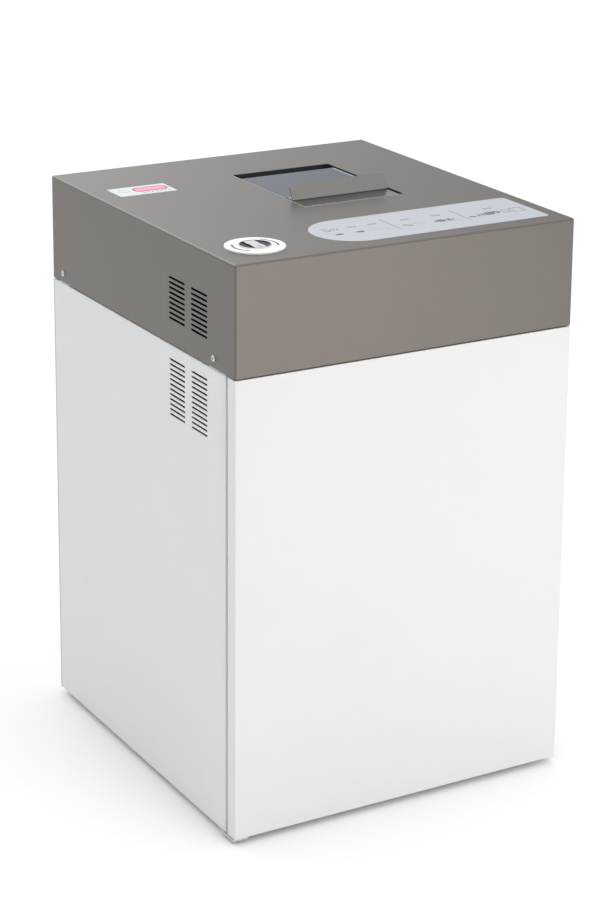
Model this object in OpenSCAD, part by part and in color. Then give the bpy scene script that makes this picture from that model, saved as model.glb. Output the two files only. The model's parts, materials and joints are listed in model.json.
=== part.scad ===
// Cabinet shredder for small media and paper, millimetres.
// Origin at the middle of the underside, +Z up, door at -Y, hinge side at -X.

/* [Cabinet] */
// Width over the hood and the door
width = 485; // [470:1:600]
// Depth from the door's face to the back
depth = 520; // [500:1:640]
// Height to the top of the hood
height = 750; // [740:1:900]
// Height of the hood above the side panels
hood_h = 140; // [130:1:160]
// Height of the rubber feet
foot_h = 8; // [6:0.5:12]
// Radius of the rubber feet
foot_r = 20; // [15:1:28]
// Thickness of the sheet steel
sheet = 1.5; // [1:0.1:2]
// Radius of the folds in the hood
fold_r = 3; // [2.2:0.1:5]

/* [Door] */
// Thickness of the door
door_t = 20; // [18:0.5:24]
// Gap between the door and the cabinet behind it
door_gap = 5; // [4.5:0.5:8]
// Distance of the hinge pins from the door's two outer faces
pin_inset = 10; // [9:0.5:12]
// Radius of the hinge pins
hinge_pin_r = 4; // [3:0.5:5]

/* [Feed] */
// Width of the feed well in the hood
well_w = 148; // [130:1:155]
// Depth of the feed well in the hood
well_d = 196; // [170:1:205]
// Middle of the feed well, right of the hood's middle
well_x = 45.5; // [30:0.5:50]
// Middle of the feed well, behind the hood's middle
well_y = 48; // [40:1:52]
// Gap between the lid and the well at each side
lid_gap = 2.5; // [1.5:0.5:4]
// Thickness of the smoked lid plate
lid_plate_t = 5; // [3:0.5:6]
// Height of the lid's lip above the hood
lip_h = 19.5; // [12:0.5:26]
// Lean of the lip towards the back, degrees
lip_lean = 30; // [0:1:45]

/* [Cutters] */
// Distance between the two cutter shafts
shaft_gap = 60; // [58:0.5:62]
// Radius of a cutter disc over its hooks
disc_r = 34; // [32:0.1:34]
// Radius of the hub between two discs
hub_r = 25; // [22:0.1:25]
// Radius of the cutter shaft between its journals
shaft_r = 15; // [14:0.5:18]
// Number of discs on each shaft
disc_count = 12; // [10:1:12]
// Distance from one disc to the next
disc_pitch = 12; // [11:0.5:12]
// Free space beside a disc where it passes the other shaft
disc_play = 0.4; // [0.3:0.05:0.6]
// Height of the cutter shafts above the deck
shaft_h = 88.5; // [86:0.5:92]

/* [Drive] */
// Height of the deck that carries the drive
deck_z = 500; // [480:1:520]
// Distance of the motor behind the cabinet's front
motor_y_inset = 96; // [93:1:99]
// Height of the motor above the deck
motor_h = 94.5; // [92:0.5:97]
// Radius of the motor's ribbed frame
motor_r = 75; // [60:1:76]
// Teeth on both pinions
pinion_teeth = 14; // [14:1:15]
// Teeth on the intermediate wheel
wheel_teeth = 58; // [54:1:58]
// Teeth on the output wheel
output_teeth = 44; // [42:1:45]
// Teeth on each synchronising gear
sync_teeth = 24; // [24:1:24]
// Module of the first gear stage
fast_module = 2.5; // [2.5:0.5:2.5]
// Module of the second gear stage
slow_module = 3.5; // [3.5:0.5:3.5]
// Play between two gear flanks
backlash = 0.35; // [0.3:0.05:0.5]
// Radial clearance of a running fit
running_fit = 0.04; // [0.02:0.01:0.08]

/* [Vents] */
// Length of a vent slot
vent_l = 42; // [30:1:48]
// Height of a vent slot
vent_w = 3; // [2:0.1:4]
// Distance from one vent slot to the next
vent_pitch = 6.5; // [5:0.5:8]
// Distance between the two columns of slots
vent_column_gap = 59; // [50:1:65]
// Rows of slots in the hood
hood_vent_rows = 9; // [4:1:10]
// Rows of slots in the side panel
panel_vent_rows = 12; // [4:1:13]

/* [Bin] */
// Width of the waste bin
bin_w = 396; // [340:1:400]
// Depth of the waste bin
bin_d = 426; // [360:1:440]
// Height of the waste bin
bin_h = 446; // [380:1:450]
// Wall of the waste bin
bin_wall = 2.5; // [2:0.5:4]

/* [Rotary switch] */
// Radius of the white rosette
rosette_r = 37.5; // [34:0.5:40]
// Radius of the turning cup
cup_r = 20; // [16:0.5:22]
// Distance of the switch from the hood's left side
switch_from_left = 62; // [55:1:75]
// Distance of the switch from the hood's front
switch_from_front = 65; // [55:1:75]

/* [Hidden] */
$fn = 64;
tiny = 0.01;
half_w = width / 2;
half_d = depth / 2;
hood_z = height - hood_h;
panel_top = hood_z - 2;
screw_head = 1.6;
screw_r = 2;
rear_y = half_d - screw_head;
flange = 20;
front_flange = 12;

// Cabinet front, hinge line and door
front_y = -half_d + door_t + door_gap;
door_z0 = foot_h + 1;
pin_x = -half_w + pin_inset;
pin_y = -half_d + pin_inset;
bracket_t = 3;
bush = 8;
lip_in = 12;
catch_air = 0.2;

// Inner face of the hood's top, deck and cutter heights
roof_z = height - sheet;
deck_top = deck_z + sheet;
cut_z = deck_top + shaft_h;
front_cut_y = well_y - shaft_gap / 2;
rear_cut_y = well_y + shaft_gap / 2;
journal_r = shaft_r - 2.5;
bearing_r = journal_r + 8.5;
side_play = 1;
disc_t = (disc_pitch - 2 * disc_play) / 2;
cut_x0 = well_x - disc_count * disc_pitch / 2;
plate_t = 12;
left_in = cut_x0 - side_play;
right_in = cut_x0 + disc_count * disc_pitch + side_play;
right_out = right_in + plate_t;
block_top = cut_z + 42;
comb_air = 3;
comb_t = 12;
block_front = front_cut_y - disc_r - comb_air - comb_t;
block_rear = rear_cut_y + disc_r + comb_air + comb_t;
block_edge = 8;

// Gear planes, from the gear plate towards the right
slow_face = 20;
fast_face = 14;
gear_air = 4;
slow_x = right_out + gear_air;
fast_x = slow_x + slow_face + gear_air + 1;
outer_x = fast_x + fast_face + gear_air + 2;

// Gear centres: the intermediate shaft is where both centre distances meet
pressure = 20;
addendum = 0.8;
dedendum = 1.1;
motor_y = front_y + motor_y_inset;
motor_z = deck_top + motor_h;
fast_gap = fast_module * (pinion_teeth + wheel_teeth) / 2;
slow_gap = slow_module * (pinion_teeth + output_teeth) / 2;
span_y = front_cut_y - motor_y;
span_z = cut_z - motor_z;
span = norm([span_y, span_z]);
along = (fast_gap^2 - slow_gap^2 + span^2) / (2 * span);
above = sqrt(fast_gap^2 - along^2);
mid_y = motor_y + (along * span_y - above * span_z) / span;
mid_z = motor_z + (along * span_z + above * span_y) / span;
fast_angle = atan2(mid_z - motor_z, mid_y - motor_y);
slow_angle = atan2(cut_z - mid_z, front_cut_y - mid_y);
sync_module = 2 * shaft_gap / (2 * sync_teeth);

// Motor along X, left of the gear plate
motor_flange_t = 14;
motor_l = 220;
motor_x1 = right_in - motor_flange_t;
motor_x0 = motor_x1 - motor_l;
motor_shaft_r = 8;
rotor_r = 35;
air_gap = 0.6;
fan_r = 55;
fan_l = 20;
cowl_l = 42;

// Feed lid
lid_x0 = well_x - well_w / 2 + lid_gap;
lid_x1 = well_x + well_w / 2 - lid_gap;
well_front = well_y - well_d / 2;
well_rear = well_y + well_d / 2;
lid_top = height - 1;
lid_front = well_front + 3;
lid_split = well_front + 55;
lid_rear = well_rear - 19;
lip_y = well_front + 36;
lid_pin_y = well_rear - 13;
lid_pin_z = height - 9;
lid_pin_r = 2.5;
ear_w = 6;
lip_t = 1.2;

// Feed chute
chute_gap = 2;
chute_x0 = min(well_x - well_w / 2 - chute_gap, left_in - 1);
chute_x1 = max(well_x + well_w / 2 + chute_gap, right_in + 1);
chute_y0 = well_front - 3;
chute_y1 = well_rear + 3;
chute_knee = height - 15;
mouth = 36;

// Rotary switch
switch_x = -half_w + switch_from_left;
switch_y = -half_d + switch_from_front;

// Waste bin, clear of the door as the door swings
bin_x0 = pin_x + 50;
bin_y0 = front_y + 9;
bin_z0 = foot_h + 2 * sheet + 0.3;

// ---- Shared shapes ----

// Box from one corner to the opposite one
module box(low, high) {
    translate(low) cube(high - low);
}

// Outline in the YZ plane, extruded from x0 to x1
module along_x(x0, x1) {
    translate([x0, 0, 0]) rotate([90, 0, 90]) linear_extrude(x1 - x0) children();
}

// Outline in the XZ plane, extruded from y0 to y1
module along_y(y0, y1) {
    translate([0, y1, 0]) rotate([90, 0, 0]) linear_extrude(y1 - y0) children();
}

module rod_x(x0, x1, y, z, r) {
    translate([x0, y, z]) rotate([0, 90, 0]) cylinder(h = x1 - x0, r = r);
}

module rod_y(y0, y1, x, z, r) {
    translate([x, y0, z]) rotate([-90, 0, 0]) cylinder(h = y1 - y0, r = r);
}

module rod_z(z0, z1, x, y, r) {
    translate([x, y, z0]) cylinder(h = z1 - z0, r = r);
}

module ring_x(x0, x1, y, z, r_out, r_in) {
    difference() {
        rod_x(x0, x1, y, z, r_out);
        rod_x(x0 - 1, x1 + 1, y, z, r_in);
    }
}

// Rectangle whose four corners are arcs
module round_rect(low, high, r) {
    translate([low.x + r, low.y]) square([high.x - low.x - 2 * r, high.y - low.y]);
    translate([low.x, low.y + r]) square([high.x - low.x, high.y - low.y - 2 * r]);
    for (x = [low.x + r, high.x - r], y = [low.y + r, high.y - r])
        translate([x, y]) circle(r);
}

// Box with rounded upright edges and rounded top edges
module folded_box(low, high, r) {
    intersection() {
        along_x(low.x, high.x) round_rect([low.y, low.z - 2 * r], [high.y, high.z], r);
        along_y(low.y, high.y) round_rect([low.x, low.z - 2 * r], [high.x, high.z], r);
        translate([0, 0, low.z]) linear_extrude(high.z - low.z)
            round_rect([low.x, low.y], [high.x, high.y], r);
    }
}

// One vent slot through a wall that faces X
module vent_slot(x0, x1, y, z) {
    along_x(x0, x1) translate([y, z]) {
        square([vent_l - vent_w, vent_w], center = true);
        for (side = [-1, 1]) translate([side * (vent_l - vent_w) / 2, 0]) circle(vent_w / 2, $fn = 24);
    }
}

// Two columns of slots, downwards from the top row, in front of the motor's fan
module vent_field(x0, x1, z_top, rows) {
    for (side = [-1, 1], row = [0 : rows - 1])
        vent_slot(x0, x1, motor_y + side * vent_column_gap / 2, z_top - row * vent_pitch);
}

// ---- Gears ----

function involute_deg(a) = tan(a) * 180 / PI - a;
function polar(r, a) = [r * cos(a), r * sin(a)];

// Half the angle of a tooth at radius r
function half_tooth(m, teeth, r) =
    let (pitch_r = m * teeth / 2)
    let (base_r = pitch_r * cos(pressure))
    let (a = acos(base_r / max(r, base_r)))
    90 / teeth + involute_deg(pressure) - involute_deg(a) - backlash / 4 / pitch_r * 180 / PI;

// Outline of a spur gear with a tooth's middle on the first axis
function gear_points(m, teeth) =
    let (root = m * (teeth / 2 - dedendum))
    let (tip = m * (teeth / 2 + addendum))
    let (base = max(root + 0.02, m * teeth / 2 * cos(pressure)))
    let (radii = [root, base, base + (tip - base) / 3, base + (tip - base) * 2 / 3, tip])
    [for (i = [0 : teeth - 1], s = [-1, 1], k = [0 : len(radii) - 1])
        let (r = s < 0 ? radii[k] : radii[len(radii) - 1 - k])
        polar(r, i * 360 / teeth + s * half_tooth(m, teeth, r))];

// Spur gear from x0 to x1 whose first tooth points at the angle, from +Y towards +Z
module spur_gear(m, teeth, x0, x1, y, z, angle, bore) {
    along_x(x0, x1) translate([y, z]) difference() {
        rotate(angle) polygon(gear_points(m, teeth));
        if (bore > 0) circle(bore);
    }
}

// Round windows that lighten a wheel
module wheel_windows(x0, x1, y, z, ring_r, r, count) {
    for (i = [0 : count - 1])
        rod_x(x0 - 1, x1 + 1, y + ring_r * cos(i * 360 / count), z + ring_r * sin(i * 360 / count), r);
}

// ---- Cabinet ----

module base_pan() color("gainsboro") {
    x = half_w - sheet;
    z = foot_h + sheet;
    rise = 26;
    box([-x, front_y + sheet, z], [x, rear_y - 2 * sheet, z + sheet]);
    for (side = [-1, 1])
        box([side > 0 ? x - sheet : -x, front_y + sheet, z],
            [side > 0 ? x : -x + sheet, rear_y - 2 * sheet, z + rise]);
    box([-x, rear_y - 3 * sheet, z], [x, rear_y - 2 * sheet, z + rise]);
}

// Side panel on the -X side: a skin with four turned-in flanges
module side_panel() {
    x = -half_w;
    box([x, front_y, foot_h], [x + sheet, rear_y - sheet, panel_top]);
    box([x, front_y, foot_h], [x + flange, front_y + sheet, panel_top]);
    box([x, rear_y - 2 * sheet, foot_h], [x + flange, rear_y - sheet, panel_top]);
    box([x, front_y, foot_h], [x + flange, rear_y - sheet, foot_h + sheet]);
    box([x, front_y, panel_top - sheet], [x + flange, rear_y - sheet, panel_top]);
}

module left_side_panel() color("whitesmoke") {
    difference() {
        side_panel();
        vent_field(-half_w - 1, -half_w + sheet + 1, hood_z - 20.5, panel_vent_rows);
        rear_panel_holes();
    }
}

module right_side_panel() color("whitesmoke") {
    difference() {
        mirror([1, 0, 0]) side_panel();
        rear_panel_holes();
    }
}

// Places of the screws that hold the rear panel
rear_screw_x = half_w - 8;
rear_screw_z = [foot_h + 52, (foot_h + panel_top) / 2, panel_top - 48];

module rear_panel_holes() {
    for (side = [-1, 1], z = rear_screw_z)
        rod_y(rear_y - 3 * sheet, half_d + 1, side * rear_screw_x, z, screw_r);
}

// Centre of the mains inlet in the rear panel
inlet_x = half_w - 62;
inlet_z = deck_top + 58;
inlet_w = 27;
inlet_h = 48;

module rear_panel() color("whitesmoke") {
    difference() {
        box([-half_w, rear_y - sheet, foot_h], [half_w, rear_y, panel_top]);
        rear_panel_holes();
        box([inlet_x - inlet_w / 2, rear_y - 2 * sheet, inlet_z - inlet_h / 2],
            [inlet_x + inlet_w / 2, rear_y + 1, inlet_z + inlet_h / 2]);
    }
}

module front_rail() color("gainsboro") {
    x = half_w - flange;
    box([-x, front_y, panel_top - 30], [x, front_y + sheet, panel_top]);
    for (z = [panel_top - 30, panel_top - sheet])
        box([-x, front_y, z], [x, front_y + front_flange, z + sheet]);
}

module drive_deck() color("silver") {
    x = half_w - sheet;
    difference() {
        union() {
            box([-x, front_y + sheet, deck_z], [x, rear_y - 2 * sheet, deck_top]);
            for (side = [-1, 1])
                box([side > 0 ? x - sheet : -x, front_y + sheet, deck_z - flange],
                    [side > 0 ? x : -x + sheet, rear_y - 2 * sheet, deck_top]);
        }
        box([left_in, drop_y0 - 1, deck_z - 1], [right_in, drop_y1 + 1, deck_top + 1]);
    }
}

// Rubber foot: a disc with a chamfered sole
module rubber_feet() color("dimgray") {
    inset = foot_r + 16;
    for (x = [-half_w + inset, half_w - inset], y = [front_y + inset, half_d - inset])
        translate([x, y, 0]) rotate_extrude()
            polygon([[0, 0], [foot_r - 1.5, 0], [foot_r, 1.5], [foot_r, foot_h], [0, foot_h]]);
}

// ---- Hood ----

hood_screw_z = hood_z + 12;
hood_screw_y = [front_y + 29, half_d - 34];
rim_drop = 4.5;

module hood() color("gray") {
    difference() {
        folded_box([-half_w, -half_d, hood_z], [half_w, half_d, height], fold_r);
        folded_box([-half_w + sheet, -half_d + sheet, hood_z - 1],
                   [half_w - sheet, half_d - sheet, roof_z], fold_r - sheet);
        box([well_x - well_w / 2, well_front, hood_z], [well_x + well_w / 2, well_rear, height + 1]);
        vent_field(-half_w - 1, -half_w + sheet + 1, height - 55, hood_vent_rows);
        rod_z(roof_z - 1, height + 1, switch_x, switch_y, 8);
        for (side = [-1, 1], y = hood_screw_y)
            rod_x(side > 0 ? half_w - 3 * sheet : -half_w - 1, side > 0 ? half_w + 1 : -half_w + 3 * sheet,
                  y, hood_screw_z, screw_r);
    }
    difference() {
        box([well_x - well_w / 2 - sheet, well_front - sheet, roof_z - rim_drop],
            [well_x + well_w / 2 + sheet, well_rear + sheet, roof_z]);
        box([well_x - well_w / 2, well_front, roof_z - rim_drop - 1],
            [well_x + well_w / 2, well_rear, roof_z + 1]);
    }
}

module hood_brackets() color("silver") {
    for (side = [0, 1], y = hood_screw_y) mirror([side, 0, 0]) difference() {
        union() {
            box([-half_w + sheet, y - 15, panel_top], [-half_w + 2 * sheet, y + 15, hood_screw_z + 12]);
            box([-half_w + sheet, y - 15, panel_top], [-half_w + flange, y + 15, panel_top + sheet]);
        }
        rod_x(-half_w, -half_w + 3 * sheet, y, hood_screw_z, screw_r);
    }
}

// Button-head screw along +X, its seat at the origin and its head behind it
module button_screw(length) {
    head_r = 4.2;
    difference() {
        rotate([0, 90, 0]) rotate_extrude()
            polygon([[0, -screw_head], [head_r - 1.6, -screw_head], [head_r - 0.4, -screw_head * 0.55],
                     [head_r, 0], [screw_r, 0], [screw_r, length], [0, length]]);
        translate([-screw_head - 1, 0, 0]) rotate([0, 90, 0]) cylinder(h = 2, r = 1.4, $fn = 6);
    }
}

module cover_screws() color("silver") {
    for (side = [0, 1], y = hood_screw_y)
        mirror([side, 0, 0]) translate([-half_w, y, hood_screw_z]) button_screw(6);
    for (side = [-1, 1], z = rear_screw_z)
        translate([side * rear_screw_x, rear_y, z]) rotate([0, 0, -90]) button_screw(2 * sheet);
}

// ---- Door and its hinges ----

module hinge_brackets() color("silver") {
    x0 = -half_w;
    x1 = pin_x + 11;
    y0 = pin_y - 7;
    y1 = front_y + front_flange;
    low = foot_h - bracket_t;
    high = hood_z + 1;
    difference() {
        union() {
            box([x0, y0, low], [x1, y1, foot_h]);
            box([x0 + sheet, y0, high], [x1, y1, high + bracket_t]);
            box([x0 + sheet, front_y + sheet, panel_top], [x1, y1, high + bracket_t]);
        }
        rod_z(low - 1, foot_h + 1, pin_x, pin_y, hinge_pin_r);
        rod_z(high - 1, high + bracket_t + 1, pin_x, pin_y, hinge_pin_r);
    }
}

module hinge_pins() color("silver") {
    rod_z(foot_h - bracket_t, door_z0 + sheet + bush + 4, pin_x, pin_y, hinge_pin_r);
    rod_z(panel_top - sheet - bush - 4, hood_z + 1 + bracket_t, pin_x, pin_y, hinge_pin_r);
}

// Bush blocks fixed in the door's two hinge corners
module door_bushes() color("ivory") {
    low = door_z0 + sheet;
    high = panel_top - sheet;
    for (span_z = [[low, low + bush + 4], [high - bush - 4, high]]) difference() {
        box([-half_w + sheet, -half_d + sheet, span_z[0]],
            [pin_x + bush, pin_y + bush, span_z[1]]);
        rod_z(span_z[0] - 1, span_z[1] + 1, pin_x, pin_y, hinge_pin_r + running_fit);
    }
}

pull_z = [270, 350];

module door_panel() color("white") {
    x = half_w - sheet;
    y0 = -half_d;
    y1 = -half_d + door_t;
    difference() {
        translate([0, 0, door_z0]) linear_extrude(panel_top - door_z0)
            round_rect([-half_w, y0], [half_w, y1], fold_r - 0.5);
        box([-x, y0 + sheet, door_z0 + sheet], [x, y1 - sheet, panel_top - sheet]);
        box([-x + lip_in, y0 + 2, door_z0 + sheet + lip_in], [x - lip_in, y1 + 1, panel_top - sheet - lip_in]);
        rod_z(door_z0 - 1, panel_top + 1, pin_x, pin_y, hinge_pin_r + 0.6);
        box([x - 1, y0 + 6, pull_z[0]], [half_w + 1, y1 + 1, pull_z[1]]);
        box([half_w - 16.5, y1 - 2 * sheet, pull_z[0]], [half_w + 1, y1 + 1, pull_z[1]]);
    }
}

module door_liner() color("whitesmoke") {
    x = half_w - sheet - lip_in;
    y1 = -half_d + door_t;
    difference() {
        box([-x, y1 - sheet, door_z0 + sheet + lip_in], [x, y1, panel_top - sheet - lip_in]);
        box([half_w - 16.5, y1 - 2 * sheet, pull_z[0]], [half_w + 1, y1 + 1, pull_z[1]]);
    }
    for (side = [-1, 1])
        box([side * x / 2 - 20, -half_d + sheet, door_z0 + sheet + lip_in],
            [side * x / 2 + 20, y1 - sheet, panel_top - sheet - lip_in]);
}

// Finger cup let into the door's free edge, open to the side and the back
module door_pull() color("dimgray") {
    y1 = -half_d + door_t;
    difference() {
        box([half_w - 16.5, -half_d + 6, pull_z[0]], [half_w, y1, pull_z[1]]);
        box([half_w - 14.5, -half_d + 8, pull_z[0] + 2], [half_w + 1, y1 + 1, pull_z[1] - 2]);
    }
}

catch_x = half_w - 52;
catch_z = panel_top - 22;
reed_x = half_w - 112;

module catch_magnet() color("dimgray") {
    box([catch_x - 22, -half_d + door_t + 0.6 + catch_air, catch_z - 7], [catch_x + 22, front_y, catch_z + 7]);
}

module catch_keeper() color("silver") {
    y = -half_d + door_t;
    box([catch_x - 16, y, catch_z - 8], [catch_x + 16, y + 0.6, catch_z + 6]);
}

module reed_switch() color("white") {
    y = -half_d + door_t + 2 + catch_air;
    difference() {
        box([reed_x - 20, y, catch_z - 7], [reed_x + 20, front_y, catch_z + 7]);
        for (side = [-1, 1]) rod_y(y - 1, front_y + 1, reed_x + side * 15, catch_z, 1.8);
    }
}

module door_magnet() color("white") {
    y = -half_d + door_t;
    box([reed_x - 14, y, catch_z - 8], [reed_x + 14, y + 2, catch_z + 5]);
}

// ---- Waste bin ----

module waste_bin() color("darkgray") {
    x1 = bin_x0 + bin_w;
    y1 = bin_y0 + bin_d;
    z1 = bin_z0 + bin_h;
    mid = bin_x0 + bin_w / 2;
    rim = 5;
    difference() {
        union() {
            translate([0, 0, bin_z0]) linear_extrude(bin_h)
                round_rect([bin_x0 + rim, bin_y0 + rim], [x1 - rim, y1 - rim], 16);
            translate([0, 0, z1 - 8]) linear_extrude(8)
                round_rect([bin_x0, bin_y0], [x1, y1], 20);
        }
        translate([0, 0, bin_z0 + bin_wall]) linear_extrude(bin_h)
            round_rect([bin_x0 + rim + bin_wall, bin_y0 + rim + bin_wall],
                       [x1 - rim - bin_wall, y1 - rim - bin_wall], 16 - bin_wall);
        along_y(bin_y0, bin_y0 + 2 * rim + bin_wall)
            round_rect([mid - 55, z1 - 62], [mid + 55, z1 - 32], 12);
    }
}

// ---- Feed lid ----

module lid_plate() color([0.35, 0.40, 0.46, 0.85]) {
    difference() {
        box([lid_x0, lid_split, lid_top - lid_plate_t], [lid_x1, lid_rear, lid_top]);
        lid_rivet_holes();
    }
}

rivet_x = [for (i = [0 : 3]) lid_x0 + 18 + i * (lid_x1 - lid_x0 - 36) / 3];
rivet_y = lid_split + 10;

module lid_rivet_holes() {
    for (x = rivet_x) rod_z(lid_top - lid_plate_t - 2 * sheet, lid_top + 1, x, rivet_y, 1.6);
}

// Stainless plate in front of the lid plate, joggled down under its edge
module lid_front_plate() color("silver") {
    low = lid_top - lid_plate_t;
    difference() {
        union() {
            box([lid_x0, lid_front, lid_top - sheet], [lid_x1, lid_split, lid_top]);
            box([lid_x0, lid_split - sheet, low - sheet], [lid_x1, lid_split, lid_top]);
            box([lid_x0, lid_split - sheet, low - sheet], [lid_x1, lid_split + 20, low]);
        }
        lid_rivet_holes();
    }
}

// Angle on the front plate: a foot, and a lip that leans back
module lid_handle() color("silver") {
    slant = lip_h / cos(lip_lean);
    heel = lip_t * sin(lip_lean);
    box([lid_x0, lip_y, lid_top], [lid_x1, lid_split - 0.5, lid_top + lip_t]);
    translate([0, lip_y, lid_top + heel]) rotate([-lip_lean, 0, 0]) along_y(0, lip_t) {
        translate([lid_x0, 0]) square([lid_x1 - lid_x0, slant - 6]);
        round_rect([lid_x0, slant - 16], [lid_x1, slant], 5);
    }
}

ear_x = [lid_x0 + 6, lid_x1 - 6 - ear_w];

module lid_hinge_ears() color("silver") {
    low = lid_top - lid_plate_t;
    barrel_r = 5;
    for (x = ear_x) difference() {
        union() {
            box([x, lid_rear - 34, low - 2.5], [x + ear_w, lid_pin_y, low]);
            rod_x(x, x + ear_w, lid_pin_y, lid_pin_z, barrel_r);
        }
        rod_x(x - 1, x + ear_w + 1, lid_pin_y, lid_pin_z, lid_pin_r + running_fit);
        box([x - 1, lid_rear - 40, low], [x + ear_w + 1, lid_rear, height + 5]);
    }
}

module lid_rivets() color("silver") {
    top = lid_top + 0.8;
    low = lid_top - lid_plate_t - sheet;
    for (x = rivet_x) {
        rod_z(low - 1, top, x, rivet_y, 1.6);
        rod_z(lid_top, top, x, rivet_y, 3);
        rod_z(low - 1, low, x, rivet_y, 2.6);
    }
}

module lid_hinge_pin() color("silver") {
    rod_x(chute_x0 - sheet, chute_x1 + sheet, lid_pin_y, lid_pin_z, lid_pin_r);
}

// ---- Printed strip, label and rotary switch ----

strip_t = 0.3;
strip_x = [151, 465];
strip_y = [25, 132];
label_x = [29, 111];
label_y = [365, 409];

module instruction_strip() color("aliceblue") {
    r = (strip_y[1] - strip_y[0]) / 2;
    translate([-half_w, -half_d, height]) linear_extrude(strip_t) {
        translate([strip_x[0] + r, strip_y[0] + r]) circle(r);
        translate([strip_x[0] + r, strip_y[0]]) square([strip_x[1] - strip_x[0] - 2 * r, 2 * r]);
        round_rect([strip_x[1] - 2 * r, strip_y[0]], [strip_x[1], strip_y[1]], 6);
    }
}

module rating_label() color("lightgray") {
    translate([-half_w, -half_d, height]) linear_extrude(strip_t)
        round_rect([label_x[0], label_y[0]], [label_x[1], label_y[1]], 1.5);
}

rosette_t = 2.2;
cup_air = 0.3;
spindle_r = 4;

module switch_rosette() color("white") {
    translate([switch_x, switch_y, height]) rotate_extrude()
        polygon([[cup_r + cup_air, 0], [rosette_r, 0], [rosette_r, rosette_t - 0.8],
                 [rosette_r - 0.8, rosette_t], [cup_r + cup_air, rosette_t]]);
}

// Dark cup with a raised edge, on the switch's spindle
module switch_cup() color("dimgray") {
    low = 0.3;
    translate([switch_x, switch_y, height]) rotate_extrude()
        polygon([[0, -20], [spindle_r, -20], [spindle_r, low], [cup_r, low], [cup_r, 3.6],
                 [cup_r - 1.2, 3.6], [cup_r - 1.8, 1.5], [0, 1.5]]);
}

// Grip bar across the cup, level with the cup's raised edge and a little narrower than its inside
module switch_grip() color("lightgray") {
    translate([switch_x, switch_y, height + 1.5]) intersection() {
        linear_extrude(2.1) round_rect([-7.5, -cup_r], [7.5, cup_r], 2);
        cylinder(h = 10, r = cup_r - 2.2);
    }
}

module rotary_switch_body() color("dimgray") {
    difference() {
        box([switch_x - 20, switch_y - 20, roof_z - 46], [switch_x + 20, switch_y + 20, roof_z]);
        rod_z(height - 22, height, switch_x, switch_y, spindle_r + running_fit);
    }
}

// ---- Feed chute ----

function chute_profile(wall) = [
    [well_y - mouth - wall, block_top], [well_y + mouth + wall, block_top],
    [well_y + mouth + wall, block_top + 4], [chute_y1 + wall, chute_knee],
    [chute_y1 + wall, roof_z], [chute_y0 - wall, roof_z],
    [chute_y0 - wall, chute_knee], [well_y - mouth - wall, block_top + 4]
];

module feed_chute() color("silver") {
    difference() {
        along_x(chute_x0 - sheet, chute_x1 + sheet) polygon(chute_profile(sheet));
        along_x(chute_x0, chute_x1) {
            polygon(chute_profile(0));
            translate([well_y - mouth, block_top - 1]) square([2 * mouth, 2]);
            translate([chute_y0, roof_z - 1]) square([chute_y1 - chute_y0, 2]);
        }
        rod_x(chute_x0 - 5, chute_x1 + 5, lid_pin_y, lid_pin_z, lid_pin_r);
    }
}

// ---- Cutting block ----

// Stepped shaft from the synchronising gear to its right end
module cutter_shaft(y, right_end) {
    rod_x(left_in - plate_t - gear_air - fast_face - 3, right_end, y, cut_z, journal_r);
    rod_x(left_in, right_in, y, cut_z, shaft_r);
}

module front_cutter_shaft() color("silver") {
    cutter_shaft(front_cut_y, slow_x + slow_face + 2);
}

module rear_cutter_shaft() color("silver") {
    cutter_shaft(rear_cut_y, right_out);
}

hooks = 8;

// Outline of a hooked disc; turn is +1 or -1 for the side that the hooks face
function disc_points(turn) = [
    for (i = [0 : hooks - 1])
        let (step = 360 / hooks)
        for (p = [[disc_r, 0], [disc_r - 5.5, 3], [disc_r - 5, step * 0.35], [disc_r - 0.6, step * 0.92]])
            polar(p[0], turn * (i * step + p[1]))
];

// One cutter: a hooked disc and its hub, which spaces it from the next
module cutter(y, disc_x, hub_x, turn) {
    along_x(disc_x, disc_x + disc_t) translate([y, cut_z]) difference() {
        polygon(disc_points(turn));
        circle(shaft_r);
    }
    ring_x(hub_x, hub_x + disc_pitch - disc_t, y, cut_z, hub_r, shaft_r);
}

module front_cutters() color("slategray") {
    for (i = [0 : disc_count - 1]) {
        x = cut_x0 + i * disc_pitch + disc_play / 2;
        cutter(front_cut_y, x, x + disc_t, -1);
    }
}

module rear_cutters() color("slategray") {
    for (i = [0 : disc_count - 1]) {
        x = cut_x0 + i * disc_pitch + disc_play * 1.5 + disc_t;
        cutter(rear_cut_y, x, x - (disc_pitch - disc_t), 1);
    }
}

// Comb whose fingers clear the hubs; side is -1 in front of the shafts, +1 behind them
module stripper_comb(y, side, first_x) {
    near = y + side * (disc_r + comb_air);
    far = near + side * comb_t;
    tip = y + side * (hub_r - 6);
    finger_t = disc_t - 0.4;
    box([left_in, min(near, far), cut_z - 15], [right_in, max(near, far), cut_z + 15]);
    for (i = [0 : disc_count - 1])
        translate([first_x + i * disc_pitch, 0, 0]) difference() {
            box([0, min(near, tip), cut_z - 10], [finger_t, max(near, tip), cut_z + 10]);
            rod_x(-1, finger_t + 1, y, cut_z, hub_r + 0.6);
        }
}

module front_stripper_comb() color("steelblue") {
    stripper_comb(front_cut_y, -1, cut_x0 + disc_play * 1.5 + disc_t + 0.2);
}

module rear_stripper_comb() color("steelblue") {
    stripper_comb(rear_cut_y, 1, cut_x0 + disc_play / 2 + 0.2);
}

rod_places = [[block_front, cut_z + 32], [block_rear, cut_z + 32],
              [block_front, cut_z - 54], [block_rear, cut_z - 54]];
tie_r = 5;
standoff_places = [[mid_y - 56, deck_top + 20], [mid_y + 10, deck_top + 20], [mid_y - 84, mid_z + 42]];
standoff_r = 7;

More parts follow.
